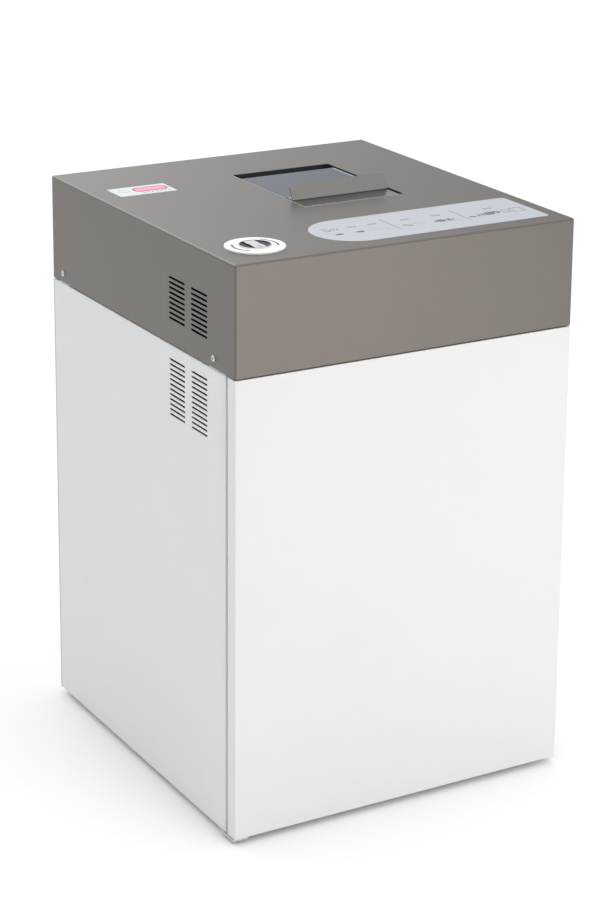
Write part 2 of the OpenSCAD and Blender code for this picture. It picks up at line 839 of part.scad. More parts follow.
module left_end_plate() color("lightslategray") {
    difference() {
        box([left_in - plate_t, block_front - block_edge, deck_top],
            [left_in, block_rear + block_edge, block_top]);
        for (y = [front_cut_y, rear_cut_y])
            rod_x(left_in - plate_t - 1, left_in + 1, y, cut_z, bearing_r);
        for (p = rod_places) rod_x(left_in - plate_t - 1, left_in + 1, p[0], p[1], tie_r);
    }
}

// Plate that carries the right-hand bearings, the motor and the gears
module gear_plate() color("lightslategray") {
    front = motor_y - motor_r - 8;
    difference() {
        along_x(right_in, right_out) polygon([
            [front, deck_top], [block_rear + block_edge, deck_top], [block_rear + block_edge, block_top],
            [well_y - mouth - 6, block_top], [mid_y + 25, mid_z + 57], [mid_y - 100, mid_z + 57],
            [front, motor_z + 54]]);
        for (y = [front_cut_y, rear_cut_y]) rod_x(right_in - 1, right_out + 1, y, cut_z, bearing_r);
        rod_x(right_in - 1, right_out + 1, mid_y, mid_z, bearing_r);
        rod_x(right_in - 1, right_out + 1, motor_y, motor_z, 30);
        for (p = rod_places) rod_x(right_in - 1, right_out + 1, p[0], p[1], tie_r);
    }
}

module outer_gear_plate() color("lightslategray") {
    difference() {
        along_x(outer_x, outer_x + plate_t) polygon([
            [mid_y - 69, deck_top + 6], [mid_y + 23, deck_top + 6], [mid_y + 40, mid_z - 8],
            [mid_y + 24, mid_z + 54], [mid_y - 98, mid_z + 54], [mid_y - 98, mid_z + 28],
            [mid_y - 52, mid_z - 48]]);
        rod_x(outer_x - 1, outer_x + plate_t + 1, mid_y, mid_z, bearing_r);
        for (p = standoff_places) rod_x(outer_x - 1, outer_x + plate_t + 1, p[0], p[1], screw_r + 2);
    }
}

// Rods through the cutting block, and standoffs between the two gear plates
module tie_rods() color("silver") {
    for (p = rod_places) {
        rod_x(left_in - plate_t, right_out, p[0], p[1], tie_r);
        rod_x(left_in - plate_t - 5, left_in - plate_t, p[0], p[1], tie_r + 3, $fn = 6);
    }
    for (p = standoff_places) {
        rod_x(right_out, outer_x, p[0], p[1], standoff_r);
        rod_x(outer_x, outer_x + plate_t, p[0], p[1], screw_r + 2);
        rod_x(outer_x + plate_t, outer_x + plate_t + 4, p[0], p[1], tie_r + 1);
    }
}

module shaft_bearings() color("lightsteelblue") {
    inner = journal_r + running_fit;
    for (y = [front_cut_y, rear_cut_y], x = [left_in - plate_t, right_in])
        ring_x(x, x + plate_t, y, cut_z, bearing_r, inner);
    for (x = [right_in, outer_x]) ring_x(x, x + plate_t, mid_y, mid_z, bearing_r, inner);
}

drop_y0 = front_cut_y - disc_r + 2;
drop_y1 = rear_cut_y + disc_r - 2;

// Duct from the cutters through the deck to the bin
module discharge_chute() color("silver") {
    x0 = left_in + 1;
    x1 = right_in - 1;
    top = cut_z - disc_r - 8;
    low = deck_z - 32;
    difference() {
        union() {
            box([x0, drop_y0, low], [x1, drop_y1, top]);
            box([x0, drop_y0 - 10, deck_top], [x1, drop_y1 + 10, deck_top + sheet]);
        }
        box([x0 + sheet, drop_y0 + sheet, low - 1], [x1 - sheet, drop_y1 - sheet, top + 1]);
    }
}

// ---- Gears on the shafts ----

sync_x = left_in - plate_t - gear_air - fast_face;

module front_sync_gear() color("goldenrod") {
    spur_gear(sync_module, sync_teeth, sync_x, sync_x + fast_face, front_cut_y, cut_z, 0, journal_r);
}

module rear_sync_gear() color("goldenrod") {
    spur_gear(sync_module, sync_teeth, sync_x, sync_x + fast_face, rear_cut_y, cut_z,
              180 + 180 / sync_teeth, journal_r);
}

module output_wheel() color("goldenrod") {
    difference() {
        spur_gear(slow_module, output_teeth, slow_x, slow_x + slow_face, front_cut_y, cut_z,
                  slow_angle + 180 + 180 / output_teeth, journal_r);
        wheel_windows(slow_x, slow_x + slow_face, front_cut_y, cut_z, 45, 14, 6);
    }
}

// Shaft whose pinion drives the output wheel
module pinion_shaft() color("silver") {
    rod_x(right_in, outer_x + plate_t, mid_y, mid_z, journal_r);
    rod_x(right_out, outer_x, mid_y, mid_z, shaft_r);
    spur_gear(slow_module, pinion_teeth, slow_x, slow_x + slow_face, mid_y, mid_z, slow_angle, 0);
}

module intermediate_wheel() color("goldenrod") {
    difference() {
        spur_gear(fast_module, wheel_teeth, fast_x, fast_x + fast_face, mid_y, mid_z,
                  fast_angle + 180 + 180 / wheel_teeth, shaft_r);
        wheel_windows(fast_x, fast_x + fast_face, mid_y, mid_z, 42, 13, 6);
    }
}

// ---- Motor ----

rib_count = 28;
rib_h = 5;

module motor_stator() color("slategray") {
    core_r = motor_r - rib_h;
    difference() {
        union() {
            rod_x(motor_x0, motor_x1, motor_y, motor_z, core_r);
            for (i = [0 : rib_count - 1]) translate([0, motor_y, motor_z]) rotate([i * 360 / rib_count, 0, 0])
                box([motor_x0 + 14, -1.2, core_r - 1], [motor_x1 - 6, 1.2, motor_r]);
            rod_x(motor_x0, motor_x0 + 10, motor_y, motor_z, motor_r);
        }
        rod_x(motor_x0 + 12, motor_x1 + 1, motor_y, motor_z, rotor_r + air_gap);
        rod_x(motor_x0 - 1, motor_x1, motor_y, motor_z, motor_shaft_r + running_fit);
    }
}

module motor_flange() color("slategray") {
    difference() {
        union() {
            rod_x(motor_x1, right_in, motor_y, motor_z, motor_r);
            rod_x(motor_x1, right_out, motor_y, motor_z, 30);
        }
        rod_x(motor_x1 - 1, right_out + 1, motor_y, motor_z, motor_shaft_r + running_fit);
    }
}

// Rotor core, shaft and the pinion cut on its end
module motor_rotor() color("silver") {
    rod_x(motor_x0 - fan_l - 8, fast_x + fast_face, motor_y, motor_z, motor_shaft_r);
    rod_x(motor_x0 + 20, motor_x1 - 8, motor_y, motor_z, rotor_r);
    spur_gear(fast_module, pinion_teeth, fast_x, fast_x + fast_face, motor_y, motor_z, fast_angle, 0);
}

module motor_fan() color("dimgray") {
    x0 = motor_x0 - fan_l - 6;
    x1 = x0 + fan_l;
    difference() {
        union() {
            rod_x(x0, x1, motor_y, motor_z, 15);
            rod_x(x1 - 2.5, x1, motor_y, motor_z, fan_r);
            for (i = [0 : 8]) translate([0, motor_y, motor_z]) rotate([i * 40, 0, 0])
                box([x0, -1.2, 12], [x1, 1.2, fan_r]);
        }
        rod_x(x0 - 1, x1 + 1, motor_y, motor_z, motor_shaft_r);
    }
}

module fan_cover() color("dimgray") {
    x0 = motor_x0 - cowl_l;
    difference() {
        rod_x(x0, motor_x0, motor_y, motor_z, motor_r);
        rod_x(x0 + 2, motor_x0 + 1, motor_y, motor_z, motor_r - 2);
        for (ring = [[20, 8], [36, 14], [52, 20]], i = [0 : ring[1] - 1])
            translate([0, motor_y, motor_z]) rotate([i * 360 / ring[1], 0, 0])
                rod_x(x0 - 1, x0 + 3, 0, ring[0], 5.5, $fn = 24);
    }
}

// ---- Electrical pieces ----

module control_board() color("darkgreen") {
    low = roof_z - 28;
    x0 = -60;
    y0 = -half_d + 35;
    box([x0, y0, low], [x0 + 120, y0 + 84, low + 1.6]);
    for (x = [x0 + 8, x0 + 112], y = [y0 + 8, y0 + 76]) rod_z(low, roof_z, x, y, 3);
    for (i = [0 : 2]) box([x0 + 22 + i * 26, y0 + 50, low], [x0 + 42 + i * 26, y0 + 76, low + 17]);
    box([x0 + 20, y0 + 12, low], [x0 + 60, y0 + 34, low + 22]);
    for (i = [0 : 1]) rod_z(low, low + 21, x0 + 76 + i * 20, y0 + 24, 8);
}

module run_capacitor() color("lightgray") {
    r = 22;
    x0 = -half_w + 48;
    y = well_y + 20;
    rod_x(x0, x0 + 95, y, deck_top + r, r);
    rod_x(x0 + 95, x0 + 99, y, deck_top + r, r - 3);
    for (side = [-1, 1]) box([x0 + 98, y + side * 8 - 3, deck_top + r - 1], [x0 + 108, y + side * 8 + 3, deck_top + r + 1]);
}

rocker_y = rear_y - 4;
rocker_z = inlet_z + 13;
rocker_tilt = 6;

// Inlet and switch in one housing: a plug socket below, a rocker opening above
module mains_inlet() color("dimgray") {
    w = inlet_w / 2;
    h = inlet_h / 2;
    socket_z = inlet_z - 10;
    difference() {
        union() {
            box([inlet_x - w, rear_y - 32, inlet_z - h], [inlet_x + w, rear_y, inlet_z + h]);
            box([inlet_x - w - 3, rear_y, inlet_z - h - 3], [inlet_x + w + 3, half_d, inlet_z + h + 3]);
        }
        box([inlet_x - 12, rear_y - 18, socket_z - 8], [inlet_x + 12, half_d + 1, socket_z + 8]);
        box([inlet_x - 8, rear_y - 14, rocker_z - 9.8], [inlet_x + 8, half_d + 1, rocker_z + 9.8]);
        rod_x(inlet_x - 10, inlet_x + 10, rocker_y, rocker_z, 1.5 + running_fit);
    }
    for (x = [-7, 0, 7])
        box([inlet_x + x - 1, rear_y - 19, socket_z - (x == 0 ? -1 : 4)],
            [inlet_x + x + 1, rear_y - 3, socket_z + (x == 0 ? 5 : 0)]);
}

// Rocker on two trunnions, with a shallow V in its face, lying in its off position
module mains_rocker() color("black") {
    along_x(inlet_x - 7.6, inlet_x + 7.6) translate([rocker_y, rocker_z]) rotate(-rocker_tilt)
        polygon([[-4, -6], [2.4, -8.6], [3.6, -8.6], [2.6, 0], [3.6, 8.6], [2.4, 8.6], [-4, 6]]);
    rod_x(inlet_x - 9.6, inlet_x + 9.6, rocker_y, rocker_z, 1.5);
}

base_pan();
left_side_panel();
right_side_panel();
rear_panel();
front_rail();
drive_deck();
rubber_feet();
hood();
hood_brackets();
cover_screws();
hinge_brackets();
hinge_pins();
catch_magnet();
reed_switch();
door_panel();
door_liner();
door_bushes();
catch_keeper();
door_magnet();
door_pull();
waste_bin();
lid_plate();
lid_front_plate();
lid_handle();
lid_hinge_ears();
lid_rivets();
lid_hinge_pin();
instruction_strip();
rating_label();
switch_rosette();
switch_cup();
switch_grip();
rotary_switch_body();
feed_chute();
front_cutter_shaft();
rear_cutter_shaft();
front_cutters();
rear_cutters();
front_stripper_comb();
rear_stripper_comb();
left_end_plate();
gear_plate();
outer_gear_plate();
tie_rods();
shaft_bearings();
discharge_chute();
front_sync_gear();
rear_sync_gear();
output_wheel();
pinion_shaft();
intermediate_wheel();
motor_stator();
motor_flange();
motor_rotor();
motor_fan();
fan_cover();
control_board();
run_capacitor();
mains_inlet();
mains_rocker();
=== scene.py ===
"""Finishes the small-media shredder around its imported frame: sheet-metal shells, feed lid, switch,
printed film, cutting block, drive and electrical pieces, with a plain studio stage."""

import json
import math

import bmesh
import bpy
from bpy.props import FloatProperty, FloatVectorProperty, IntProperty, PointerProperty
from mathutils import Euler, Matrix, Vector


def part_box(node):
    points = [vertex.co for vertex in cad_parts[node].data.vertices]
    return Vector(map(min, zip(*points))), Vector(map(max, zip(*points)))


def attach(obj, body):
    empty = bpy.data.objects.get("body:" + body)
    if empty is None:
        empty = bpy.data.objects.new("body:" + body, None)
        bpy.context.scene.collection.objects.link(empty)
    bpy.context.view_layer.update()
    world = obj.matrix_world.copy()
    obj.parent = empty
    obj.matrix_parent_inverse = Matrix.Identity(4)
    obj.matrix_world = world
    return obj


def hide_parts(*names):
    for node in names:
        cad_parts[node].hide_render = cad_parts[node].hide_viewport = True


bl_info = {
    "name": "Cabinet shredder",
    "version": (1, 0, 0),
    "blender": (4, 5, 0),
    "location": "3D View > Sidebar > Shredder",
    "description": "Models and finishes a cabinet shredder for small media around its frame",
    "category": "Object",
}

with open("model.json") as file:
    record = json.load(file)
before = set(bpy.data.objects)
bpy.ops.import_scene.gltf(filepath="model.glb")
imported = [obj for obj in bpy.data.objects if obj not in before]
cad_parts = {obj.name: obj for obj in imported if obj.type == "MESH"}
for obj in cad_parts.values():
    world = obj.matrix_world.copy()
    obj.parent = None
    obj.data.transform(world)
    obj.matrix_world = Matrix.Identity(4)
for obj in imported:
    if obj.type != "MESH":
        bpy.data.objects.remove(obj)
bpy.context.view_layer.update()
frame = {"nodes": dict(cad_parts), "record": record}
RECORD = frame["record"]
BODY_OF = {node: body for body, nodes in RECORD["behaviour"]["bodies"].items() for node in nodes}

MM = 0.001
TOUCH = 0.00003
X, Y, Z = 0, 1, 2


# ---- Sizes and colours that a user would change ----

class ShredderSizes(bpy.types.PropertyGroup):
    """Sizes of the folded sheets, the vents and the printed film."""

    sheet: FloatProperty(name="Sheet", description="Thickness of the sheet steel",
                         default=1.5 * MM, unit="LENGTH", precision=4)
    fold: FloatProperty(name="Hood folds", description="Outer radius of the hood's folds",
                        default=3 * MM, unit="LENGTH", precision=4)
    panel_fold: FloatProperty(name="Panel folds", description="Outer radius of the panels' folds",
                              default=2.6 * MM, unit="LENGTH", precision=4)
    door_fold: FloatProperty(name="Door folds", description="Outer radius of the door's upright folds",
                             default=2.5 * MM, unit="LENGTH", precision=4)
    rim_roll: FloatProperty(name="Rim roll", description="Radius rolled on the feed well's edge",
                            default=0.45 * MM, unit="LENGTH", precision=5)
    rim_bead: FloatProperty(name="Rim bead", description="Rise of the well's rolled rim over the hood",
                            default=0.5 * MM, unit="LENGTH", precision=5)
    rim_drop: FloatProperty(name="Rim drop", description="Depth of the well's rim under the sheet",
                            default=4.5 * MM, unit="LENGTH", precision=4)
    lid_side_gap: FloatProperty(name="Lid side gap", description="Gap between lid and well at each side",
                                default=2.5 * MM, unit="LENGTH", precision=4)
    lid_front_gap: FloatProperty(name="Lid front gap", description="Gap between lid and well in front",
                                 default=3 * MM, unit="LENGTH", precision=4)
    lid_rear_gap: FloatProperty(name="Lid rear gap", description="Open gap behind the lid plate",
                                default=19 * MM, unit="LENGTH", precision=4)
    vent_length: FloatProperty(name="Vent length", description="Length of a vent slot",
                               default=42 * MM, unit="LENGTH", precision=4)
    vent_height: FloatProperty(name="Vent height", description="Height of a vent slot",
                               default=3 * MM, unit="LENGTH", precision=4)
    vent_pitch: FloatProperty(name="Vent pitch", description="Distance from one slot to the next",
                              default=6.5 * MM, unit="LENGTH", precision=4)
    vent_columns: FloatProperty(name="Vent columns", description="Distance between the slot columns",
                                default=59 * MM, unit="LENGTH", precision=4)
    hood_vent_top: FloatProperty(name="Hood vent top", description="Top slot below the hood's top",
                                 default=55 * MM, unit="LENGTH", precision=4)
    panel_vent_top: FloatProperty(name="Panel vent top", description="Top slot below the hood's edge",
                                  default=20.5 * MM, unit="LENGTH", precision=4)
    hood_vent_rows: IntProperty(name="Hood vent rows", description="Rows of slots in the hood",
                                default=9, min=1)
    panel_vent_rows: IntProperty(name="Panel vent rows", description="Rows of slots in the side panel",
                                 default=12, min=1)
    edge_break: FloatProperty(name="Edge break", description="Small bevel on cut and machined edges",
                              default=0.3 * MM, unit="LENGTH", precision=5)
    print_film: FloatProperty(name="Ink film", description="Thickness of the printed marks",
                              default=0.08 * MM, unit="LENGTH", precision=5)


def colour(label, about, value):
    """A colour property with its name, description and default."""
    return FloatVectorProperty(name=label, description=about, default=value, subtype="COLOR",
                               size=3, min=0, max=1)


class ShredderFinish(bpy.types.PropertyGroup):
    """Base colours of the finishes."""

    enamel: colour("Enamel", "Powder coat on the cabinet and door", (0.725, 0.73, 0.74))
    hood: colour("Hood", "Brushed steel of the hood", (0.176, 0.160, 0.146))
    stainless: colour("Stainless", "Brushed steel of the lid", (0.21, 0.20, 0.19))
    # Painted highlight: bright steel colour given only to the front and left sides of the feed well's rolled
    # rim, where the light catches it.
    polished: colour("Polished steel", "Rolled rim of the feed well", (0.80, 0.80, 0.79))
    plate: colour("Smoked plate", "Smoked acrylic of the lid", (0.045, 0.068, 0.12))
    # Painted highlight: pale aqua colour for the bright lines along the acrylic plate's edges.
    plate_edge_highlight: colour("Plate edge", "Polished edge of the acrylic", (0.55, 0.72, 0.76))
    rosette: colour("Rosette", "White switch plate", (0.93, 0.93, 0.93))
    grip: colour("Grip", "Grey grip of the switch", (0.60, 0.60, 0.61))
    # Painted shade: near black on the switch cup's floor and inner wall and on the grip's sides, where shade
    # falls in the recesses.
    recess: colour("Recess", "Dark floor of the switch cup", (0.035, 0.037, 0.045))
    film: colour("Strip film", "Pale film of the instruction strip", (0.48, 0.505, 0.55))
    silver_film: colour("Label film", "Silver film of the label", (0.66, 0.69, 0.69))
    ink: colour("Dark ink", "Ink of the pictograms", (0.10, 0.12, 0.15))
    faint_ink: colour("Faint ink", "Pale ink of the dividers", (0.42, 0.45, 0.49))
    red_ink: colour("Red ink", "Ink round the bar on the label", (0.52, 0.06, 0.12))
    pink_ink: colour("Pink ink", "Ink inside the bar on the label", (0.86, 0.36, 0.44))
    zinc: colour("Zinc", "Zinc-plated sheet", (0.62, 0.63, 0.64))
    tool: colour("Tool steel", "Hardened cutter discs", (0.30, 0.31, 0.33))
    shaft: colour("Shaft steel", "Turned shafts and rods", (0.55, 0.55, 0.56))
    gear: colour("Gear steel", "Hobbed wheels", (0.44, 0.42, 0.39))
    # Painted shade: near-black colour on the feed chute and the well's inner walls, standing for the shade down
    # in the deep feed opening.
    chute_black: colour("Chute enamel", "Satin black of the feed chute", (0.02, 0.02, 0.022))
    frame_paint: colour("Frame enamel", "Grey enamel of plates and motor", (0.10, 0.125, 0.15))
    blued: colour("Blued steel", "Stripper combs", (0.17, 0.20, 0.26))
    black: colour("Black plastic", "Moulded black pieces", (0.025, 0.025, 0.028))
    ivory: colour("White plastic", "Moulded white pieces", (0.78, 0.77, 0.73))
    bin_grey: colour("Bin plastic", "Moulded waste bin", (0.11, 0.12, 0.135))
    rubber: colour("Rubber", "Feet", (0.022, 0.022, 0.022))
    board: colour("Board", "Solder mask of the control board", (0.015, 0.12, 0.055))
    brass: colour("Brass", "Contact pins", (0.72, 0.53, 0.24))


class ShredderStage(bpy.types.PropertyGroup):
    """Camera, floor and lights."""

    camera_at: FloatVectorProperty(name="Camera", description="Place of the camera", size=3,
                                   default=(-1.5865, -2.7621, 1.5263), subtype="TRANSLATION")
    camera_yaw: FloatProperty(name="Yaw", description="Turn of the view from the back to the right",
                              default=math.radians(29.77), subtype="ANGLE")
    camera_pitch: FloatProperty(name="Pitch", description="Tilt of the view below the horizon",
                                default=math.radians(15.377), subtype="ANGLE")
    camera_roll: FloatProperty(name="Roll", description="Turn of the view about its own line",
                               default=math.radians(0.457), subtype="ANGLE")
    camera_lens: FloatProperty(name="Lens", description="Focal length in millimetres",
                               default=101.011)
    camera_shift: FloatProperty(name="Shift", description="Upright shift of the view", default=-0.2)
    floor_colour: colour("Floor", "Plain floor", (0.90, 0.90, 0.90))
    floor_size: FloatProperty(name="Floor size", description="Side of the floor", default=40.0,
                              unit="LENGTH")
    world_strength: FloatProperty(name="World", description="Strength of the surrounding light",
                                  default=0.4)
    glow_strength: FloatProperty(name="Glow", description="Strength of the glow behind the machine",
                                 default=2.9)


# ---- Modelling helpers ----

def pair(node):
    """Lowest and highest corner of a CAD node."""
    low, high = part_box(node)
    return Vector(low), Vector(high)


def middle_of(node):
    """Middle of a CAD node's box."""
    low, high = pair(node)
    return (low + high) / 2


def hold(piece):
    """Leaves only this piece selected, and active."""
    if bpy.context.object and bpy.context.object.mode != "OBJECT":
        bpy.ops.object.mode_set(mode="OBJECT")
    bpy.ops.object.select_all(action="DESELECT")
    if piece:
        piece.select_set(True)
        bpy.context.view_layer.objects.active = piece
    return piece


def settle(piece):
    """Puts the object's place, turn and scale into its mesh."""
    hold(piece)
    bpy.ops.object.transform_apply(location=True, rotation=True, scale=True)
    return piece


def block(name, low, high):
    """Box between two corners."""
    low, high = Vector(low), Vector(high)
    hold(None)
    bpy.ops.mesh.primitive_cube_add(size=1, location=(low + high) / 2)
    piece = bpy.context.object
    piece.name = piece.data.name = name
    piece.scale = high - low
    return settle(piece)


def disc(name, centre, radius, length, axis=Z, sides=64):
    """Round bar with its middle at centre, along the axis."""
    turn = {X: (0, math.pi / 2, 0), Y: (math.pi / 2, 0, 0), Z: (0, 0, 0)}[axis]
    hold(None)
    bpy.ops.mesh.primitive_cylinder_add(vertices=sides, radius=radius, depth=length,
                                        location=centre, rotation=turn)
    piece = bpy.context.object
    piece.name = piece.data.name = name
    return settle(piece)


def choose(piece, kind, test):
    """Enters edit mode with only those vertices, edges or faces selected that pass the test."""
    hold(piece)
    bpy.ops.object.mode_set(mode="EDIT")
    bpy.ops.mesh.select_mode(type=kind)
    bpy.ops.mesh.select_all(action="DESELECT")
    mesh = bmesh.from_edit_mesh(piece.data)
    chosen = [e for e in {"VERT": mesh.verts, "EDGE": mesh.edges, "FACE": mesh.faces}[kind] if test(e)]
    if not chosen:
        raise RuntimeError(f"{piece.name}: no {kind.lower()} to work on")
    for element in chosen:
        element.select_set(True)
    mesh.select_flush_mode()
    bmesh.update_edit_mesh(piece.data)
    return piece


def leave(piece):
    """Goes back to object mode."""
    bpy.ops.object.mode_set(mode="OBJECT")
    return piece


def lies_at(axis, place):
    """Test for edges and faces that lie in one plane across the axis."""
    return lambda e: all(abs(v.co[axis] - place) < TOUCH for v in e.verts)


def runs_along(axis):
    """Test for straight edges along the axis."""
    others = [i for i in (X, Y, Z) if i != axis]
    return lambda e: all(abs(e.verts[0].co[i] - e.verts[1].co[i]) < TOUCH for i in others)


def within(low, high):
    """Test for elements that lie inside a box."""
    return lambda e: all(low[i] - TOUCH <= v.co[i] <= high[i] + TOUCH for v in e.verts for i in (X, Y, Z))


def both(*tests):
    """Test that passes where all the tests pass."""
    return lambda e: all(test(e) for test in tests)


def round_edges(piece, test, radius, segments=4):
    """Bevels the chosen edges to an arc."""
    choose(piece, "EDGE", test)
    bpy.ops.mesh.bevel(offset=radius, segments=segments, affect="EDGES", clamp_overlap=True)
    return leave(piece)


def combine(piece, tool, how="DIFFERENCE"):
    """Cuts the tool out of the piece, or joins it on, and removes the tool."""
    hold(piece)
    bpy.ops.object.modifier_add(type="BOOLEAN")
    boolean = piece.modifiers[-1]
    boolean.operation, boolean.object, boolean.solver = how, tool, "EXACT"
    bpy.ops.object.modifier_apply(modifier=boolean.name)
    bpy.data.objects.remove(tool, do_unlink=True)
    if not piece.data.polygons:
        raise RuntimeError(f"{piece.name}: nothing is left after a cut")
    return piece


def repeat(piece, count, step):
    """Repeats the piece along a step."""
    hold(piece)
    bpy.ops.object.modifier_add(type="ARRAY")
    array = piece.modifiers[-1]
    array.count, array.use_relative_offset, array.use_constant_offset = count, False, True
    array.constant_offset_displace = step
    bpy.ops.object.modifier_apply(modifier=array.name)
    return piece


def bevel_all(piece, width, segments=2, angle=35):
    """Breaks every edge sharper than the angle."""
    hold(piece)
    bpy.ops.object.modifier_add(type="BEVEL")
    bevel = piece.modifiers[-1]
    bevel.width, bevel.segments, bevel.limit_method = width, segments, "ANGLE"
    bevel.angle_limit, bevel.miter_outer = math.radians(angle), "MITER_ARC"
    bpy.ops.object.modifier_apply(modifier=bevel.name)
    return piece


def copy_to(piece, name, place, turn=(0, 0, 0)):
    """Copies a piece that was modelled at the origin, with a mesh of its own."""
    hold(piece)
    bpy.ops.object.duplicate(linked=False)
    copy = bpy.context.object
    copy.name = copy.data.name = name
    copy.location, copy.rotation_euler = place, turn
    return settle(copy)


def join(name, pieces):
    """Joins pieces into one mesh."""
    hold(pieces[0])
    for piece in pieces:
        piece.select_set(True)
    bpy.ops.object.join()
    pieces[0].name = pieces[0].data.name = name
    return pieces[0]


def paint(piece, index, test):
    """Gives the faces whose middle passes the test another of the piece's materials."""
    for face in piece.data.polygons:
        if test(face.center, face.normal):
            face.material_index = index


def finish(piece, nodes, materials, smooth=35):
    """Shades the piece, gives it its materials, and lets it stand for its CAD nodes."""
    hold(piece)
    bpy.ops.object.shade_smooth_by_angle(angle=math.radians(smooth))
    bpy.ops.object.modifier_add(type="WEIGHTED_NORMAL")
    piece.modifiers[-1].keep_sharp = True
    bpy.ops.object.modifier_apply(modifier=piece.modifiers[-1].name)
    materials = [materials] if isinstance(materials, bpy.types.Material) else materials
    for material in materials:
        piece.data.materials.append(material)
    first = nodes[0] if isinstance(nodes, (list, tuple)) else nodes
    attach(piece, BODY_OF[first])
    if not isinstance(nodes, str):
        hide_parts(*nodes)
    return piece


def refined(node, width, segments=2, angle=35):
    """Welded copy of a CAD node, its flats cleared of triangles and its sharp edges broken."""
    source = frame["nodes"][node]
    piece = bpy.data.objects.new(f"{node}.fine", source.data.copy())
    bpy.context.scene.collection.objects.link(piece)
    piece.data.materials.clear()
    hold(piece)
    bpy.ops.object.mode_set(mode="EDIT")
    bpy.ops.mesh.select_all(action="SELECT")
    bpy.ops.mesh.customdata_custom_splitnormals_clear()
    bpy.ops.mesh.remove_doubles(threshold=0.000002)
    bpy.ops.mesh.dissolve_limited(angle_limit=math.radians(0.5))
    bpy.ops.object.mode_set(mode="OBJECT")
    if width:
        bevel_all(piece, width, segments, angle)
    return piece


def refine_all(nodes, material, width, segments=2, smooth=35):
    """Refines several CAD nodes that share one finish."""
    for node in nodes:
        finish(refined(node, width, segments), [node], material, smooth)


# ---- Shader node groups ----

def put(tree, kind, inputs=None, **settings):
    """Adds a node. A value in inputs is a constant, or a socket that is linked."""
    node = tree.nodes.new(kind)
    for key, value in settings.items():
        setattr(node, key, value)
    for key, value in (inputs or {}).items():
        if isinstance(value, bpy.types.NodeSocket):
            tree.links.new(value, node.inputs[key])
        else:
            node.inputs[key].default_value = value
    return node


def math_node(tree, operation, a, b=0.0, clamp=False):
    """Result of a sum on two values or sockets."""
    return put(tree, "ShaderNodeMath", {0: a, 1: b}, operation=operation, use_clamp=clamp).outputs[0]


def new_group(name, inputs, outputs):
    """Empty node group with these sockets; gives the tree, its input node and its output node."""
    tree = bpy.data.node_groups.new(name, "ShaderNodeTree")
    for label, kind, default in inputs:
        socket = tree.interface.new_socket(label, in_out="INPUT", socket_type=f"NodeSocket{kind}")
        if default is not None:
            socket.default_value = default
    for label, kind in outputs:
        tree.interface.new_socket(label, in_out="OUTPUT", socket_type=f"NodeSocket{kind}")
    return tree, tree.nodes.new("NodeGroupInput"), tree.nodes.new("NodeGroupOutput")


def stretched_lines_group():
    """Brush or lathe lines: noise that is drawn out where the stretch is small."""
    tree, start, end = new_group(
        "Drawn Lines",
        [("Vector", "Vector", None), ("Stretch", "Vector", (0.01, 1, 1)), ("Fineness", "Float", 2500.0)],
        [("Lines", "Float"), ("Streaks", "Float")])
    drawn = put(tree, "ShaderNodeVectorMath", {0: start.outputs["Vector"], 1: start.outputs["Stretch"]},
                operation="MULTIPLY").outputs[0]
    fine = put(tree, "ShaderNodeTexNoise", {"Vector": drawn, "Scale": start.outputs["Fineness"],
                                            "Detail": 3.0, "Roughness": 0.65})
    coarse_scale = math_node(tree, "MULTIPLY", start.outputs["Fineness"], 0.12)
    coarse = put(tree, "ShaderNodeTexNoise", {"Vector": drawn, "Scale": coarse_scale, "Detail": 2.0})
    tree.links.new(fine.outputs["Fac"], end.inputs["Lines"])
    tree.links.new(coarse.outputs["Fac"], end.inputs["Streaks"])
    return tree


def fold_direction_group():
    """Stretch for lines that run along X on top and in front, and turn down over the side folds."""
    tree, start, end = new_group("Fold Direction", [("Normal", "Vector", None), ("Draw", "Float", 0.012)],
                                 [("Stretch", "Vector")])
    parts = put(tree, "ShaderNodeSeparateXYZ", {0: start.outputs["Normal"]})
    size = math_node(tree, "ABSOLUTE", parts.outputs["Y"])
    front = math_node(tree, "GREATER_THAN", size, 0.6)
    side = math_node(tree, "SUBTRACT", 1.0, front)
    y = math_node(tree, "MAXIMUM", side, start.outputs["Draw"])
    z = math_node(tree, "MAXIMUM", front, start.outputs["Draw"])
    stretch = put(tree, "ShaderNodeCombineXYZ", {"X": start.outputs["Draw"], "Y": y, "Z": z})
    tree.links.new(stretch.outputs[0], end.inputs["Stretch"])
    return tree


def mottle_group():
    """Slow change of tone over a surface, with a finer change on top."""
    tree, start, end = new_group(
        "Tone Mottle", [("Vector", "Vector", None), ("Patch", "Float", 6.0), ("Amount", "Float", 0.05)],
        [("Tone", "Float"), ("Patches", "Float")])
    broad = put(tree, "ShaderNodeTexNoise", {"Vector": start.outputs["Vector"],
                                             "Scale": start.outputs["Patch"], "Detail": 3.0})
    fine_scale = math_node(tree, "MULTIPLY", start.outputs["Patch"], 14.0)
    fine = put(tree, "ShaderNodeTexNoise", {"Vector": start.outputs["Vector"], "Scale": fine_scale,
                                            "Detail": 2.0})
    mixed = math_node(tree, "ADD", math_node(tree, "MULTIPLY", broad.outputs["Fac"], 0.7),
                      math_node(tree, "MULTIPLY", fine.outputs["Fac"], 0.3))
    swing = math_node(tree, "MULTIPLY", math_node(tree, "SUBTRACT", mixed, 0.5),
                      math_node(tree, "MULTIPLY", start.outputs["Amount"], 2.0))
    tree.links.new(math_node(tree, "ADD", swing, 1.0), end.inputs["Tone"])
    tree.links.new(mixed, end.inputs["Patches"])
    return tree


